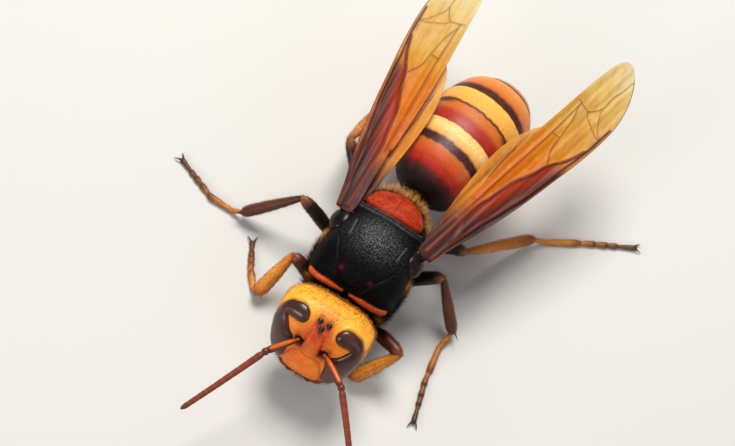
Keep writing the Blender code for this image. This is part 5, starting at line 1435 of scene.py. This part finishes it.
def hairPaint():
    material, tree, shader = newPaint("fineHair", 0.6, 0.1)
    varied = maths(tree, "MULTIPLY_ADD", noiseOf(tree, 1.1, 4, 0.65), 0.36, -0.18)
    colour = colourRamp(tree, maths(tree, "ADD", markOf(tree, "hairTone"), varied), (0.0, 10, 7, 7), (0.3, 44, 22, 13),
                        (0.55, 166, 90, 30), (0.8, 216, 144, 54), (1.0, 226, 196, 146))
    fleck = colourRamp(tree, noiseOf(tree, 6.0, 2), (0.56, 0), (0.66, 0.6))
    wear(tree, shader, layOver(tree, colour, fleck, 1, (70, 28, 10)))
    return material


def growHair(name, skin, coatName, slotName):
    settings = hairShape[coatName]
    tree = hairTree(name + "Tree", tuft, coatPaint, settings)
    host = bpy.data.objects.new(name, skin.data)
    bpy.context.scene.collection.objects.link(host)
    modifier = host.modifiers.new(name + "Scatter", "NODES")
    modifier.node_group = tree
    identifiers = {item.name: item.identifier for item in tree.interface.items_tree if item.in_out == "INPUT"}
    for label, key in hairInputs.items():
        modifier[identifiers[label]] = float(settings[key])
    bpy.context.view_layer.update()
    mesh = bpy.data.meshes.new_from_object(host.evaluated_get(bpy.context.evaluated_depsgraph_get()))
    bpy.data.objects.remove(host)
    coat = bpy.data.objects.new(name, mesh)
    bpy.context.scene.collection.objects.link(coat)
    print(name, len(mesh.polygons), "faces")
    return finishPiece(coat, slotName)


tuft, coatPaint = hairTuft(), hairPaint()
for coatName, skin, slotName in (("headHair", headSkin, "head_shell"), ("chestHair", chestSkin, "chest"),
                                 ("gasterHair", gasterSkin, "gaster")):
    growHair(coatName, skin, coatName, slotName)
for legTitle, parts in legs.items():
    for part, skin in parts.items():
        growHair(part + "Hair" + legTitle, skin, "legHair", part)
bpy.data.objects.remove(tuft)
print("hair done")


shotSettings = {
    "azimuth": 5.6, "elevation": 62.0, "roll": 26.3, "distance": 200.0, "target": (0.0, 0.0, 10.2),
    "focalPixels": 1900.0, "middle": (377.0, 242.7), "picture": (735, 446), "sensorMillimetres": 36.0,
    # each lamp: place in metres, size, watts and colour; all of them look at one point
    "lamps": {
        "keyLamp": ((-0.06, 0.12, 0.26), 0.14, 1.0, (1.0, 0.98, 0.94)),
        "fillLamp": ((0.24, -0.1, 0.16), 0.2, 0.12, (0.94, 0.97, 1.0)),
        "frontLamp": ((-0.14, -0.26, 0.16), 0.14, 0.4, (1.0, 0.99, 0.97)),
    },
    "lampTarget": (0, 0, 0.008),
    "floorColour": (206, 204, 199), "floorReach": 2,
    "skyColour": (0.9, 0.93, 1.0, 1), "skyStrength": 0.3,
}


def setCamera():
    azimuth, elevation, roll = (math.radians(shotSettings[key]) for key in ("azimuth", "elevation", "roll"))
    right = Vector((math.cos(azimuth), math.sin(azimuth), 0))
    away = Vector((-math.sin(azimuth), math.cos(azimuth), 0))
    upright = Vector((0, 0, 1))
    up = away * math.sin(elevation) + upright * math.cos(elevation)
    back = upright * math.sin(elevation) - away * math.cos(elevation)
    turnedRight = right * math.cos(roll) + up * math.sin(roll)
    turnedUp = up * math.cos(roll) - right * math.sin(roll)
    wide, tall = shotSettings["picture"]
    shiftX = (shotSettings["middle"][0] - wide / 2) / shotSettings["focalPixels"]
    shiftY = -(shotSettings["middle"][1] - tall / 2) / shotSettings["focalPixels"]
    backward = (back - turnedRight * shiftX - turnedUp * shiftY) * shotSettings["distance"]
    place = Vector(shotSettings["target"]) + backward
    data = bpy.data.cameras.new("photoCamera")
    data.sensor_width = shotSettings["sensorMillimetres"]
    data.lens = shotSettings["focalPixels"] / wide * shotSettings["sensorMillimetres"]
    data.clip_start, data.clip_end = 0.005, 5.0
    camera = bpy.data.objects.new("photoCamera", data)
    bpy.context.scene.collection.objects.link(camera)
    turn = Matrix((turnedRight, turnedUp, back)).transposed().to_4x4()
    camera.matrix_world = Matrix.Translation(Vector(toModel(place))) @ turn
    bpy.context.scene.camera = camera


def addLight(name, place, size, watts, colour):
    data = bpy.data.lights.new(name, "AREA")
    data.shape = "DISK"
    data.size, data.energy, data.color = size, watts, colour
    lamp = bpy.data.objects.new(name, data)
    bpy.context.scene.collection.objects.link(lamp)
    lamp.location = place
    lamp.rotation_euler = (Vector(shotSettings["lampTarget"]) - Vector(place)).to_track_quat("-Z", "Y").to_euler()


def setStage():
    floorPaint, _, shader = newPaint("paleFloor", 0.8, 0.1)
    shader.inputs["Base Color"].default_value = paint(*shotSettings["floorColour"])
    mesh = bpy.data.meshes.new("floor")
    corners = [(-1, -1), (1, -1), (1, 1), (-1, 1)]
    reach = shotSettings["floorReach"]
    mesh.from_pydata([(reach * x, reach * y, 0) for x, y in corners], [], [(0, 1, 2, 3)])
    newObject("floor", mesh, floorPaint)
    for name, lamp in shotSettings["lamps"].items():
        addLight(name, *lamp)
    world = bpy.data.worlds.new("paleWorld")
    bpy.context.scene.world = world
    world.use_nodes = True
    background = world.node_tree.nodes["Background"]
    background.inputs["Color"].default_value = shotSettings["skyColour"]
    background.inputs["Strength"].default_value = shotSettings["skyStrength"]
    bpy.context.scene.view_settings.view_transform = "Standard"


setStage()
setCamera()
print("stage done")
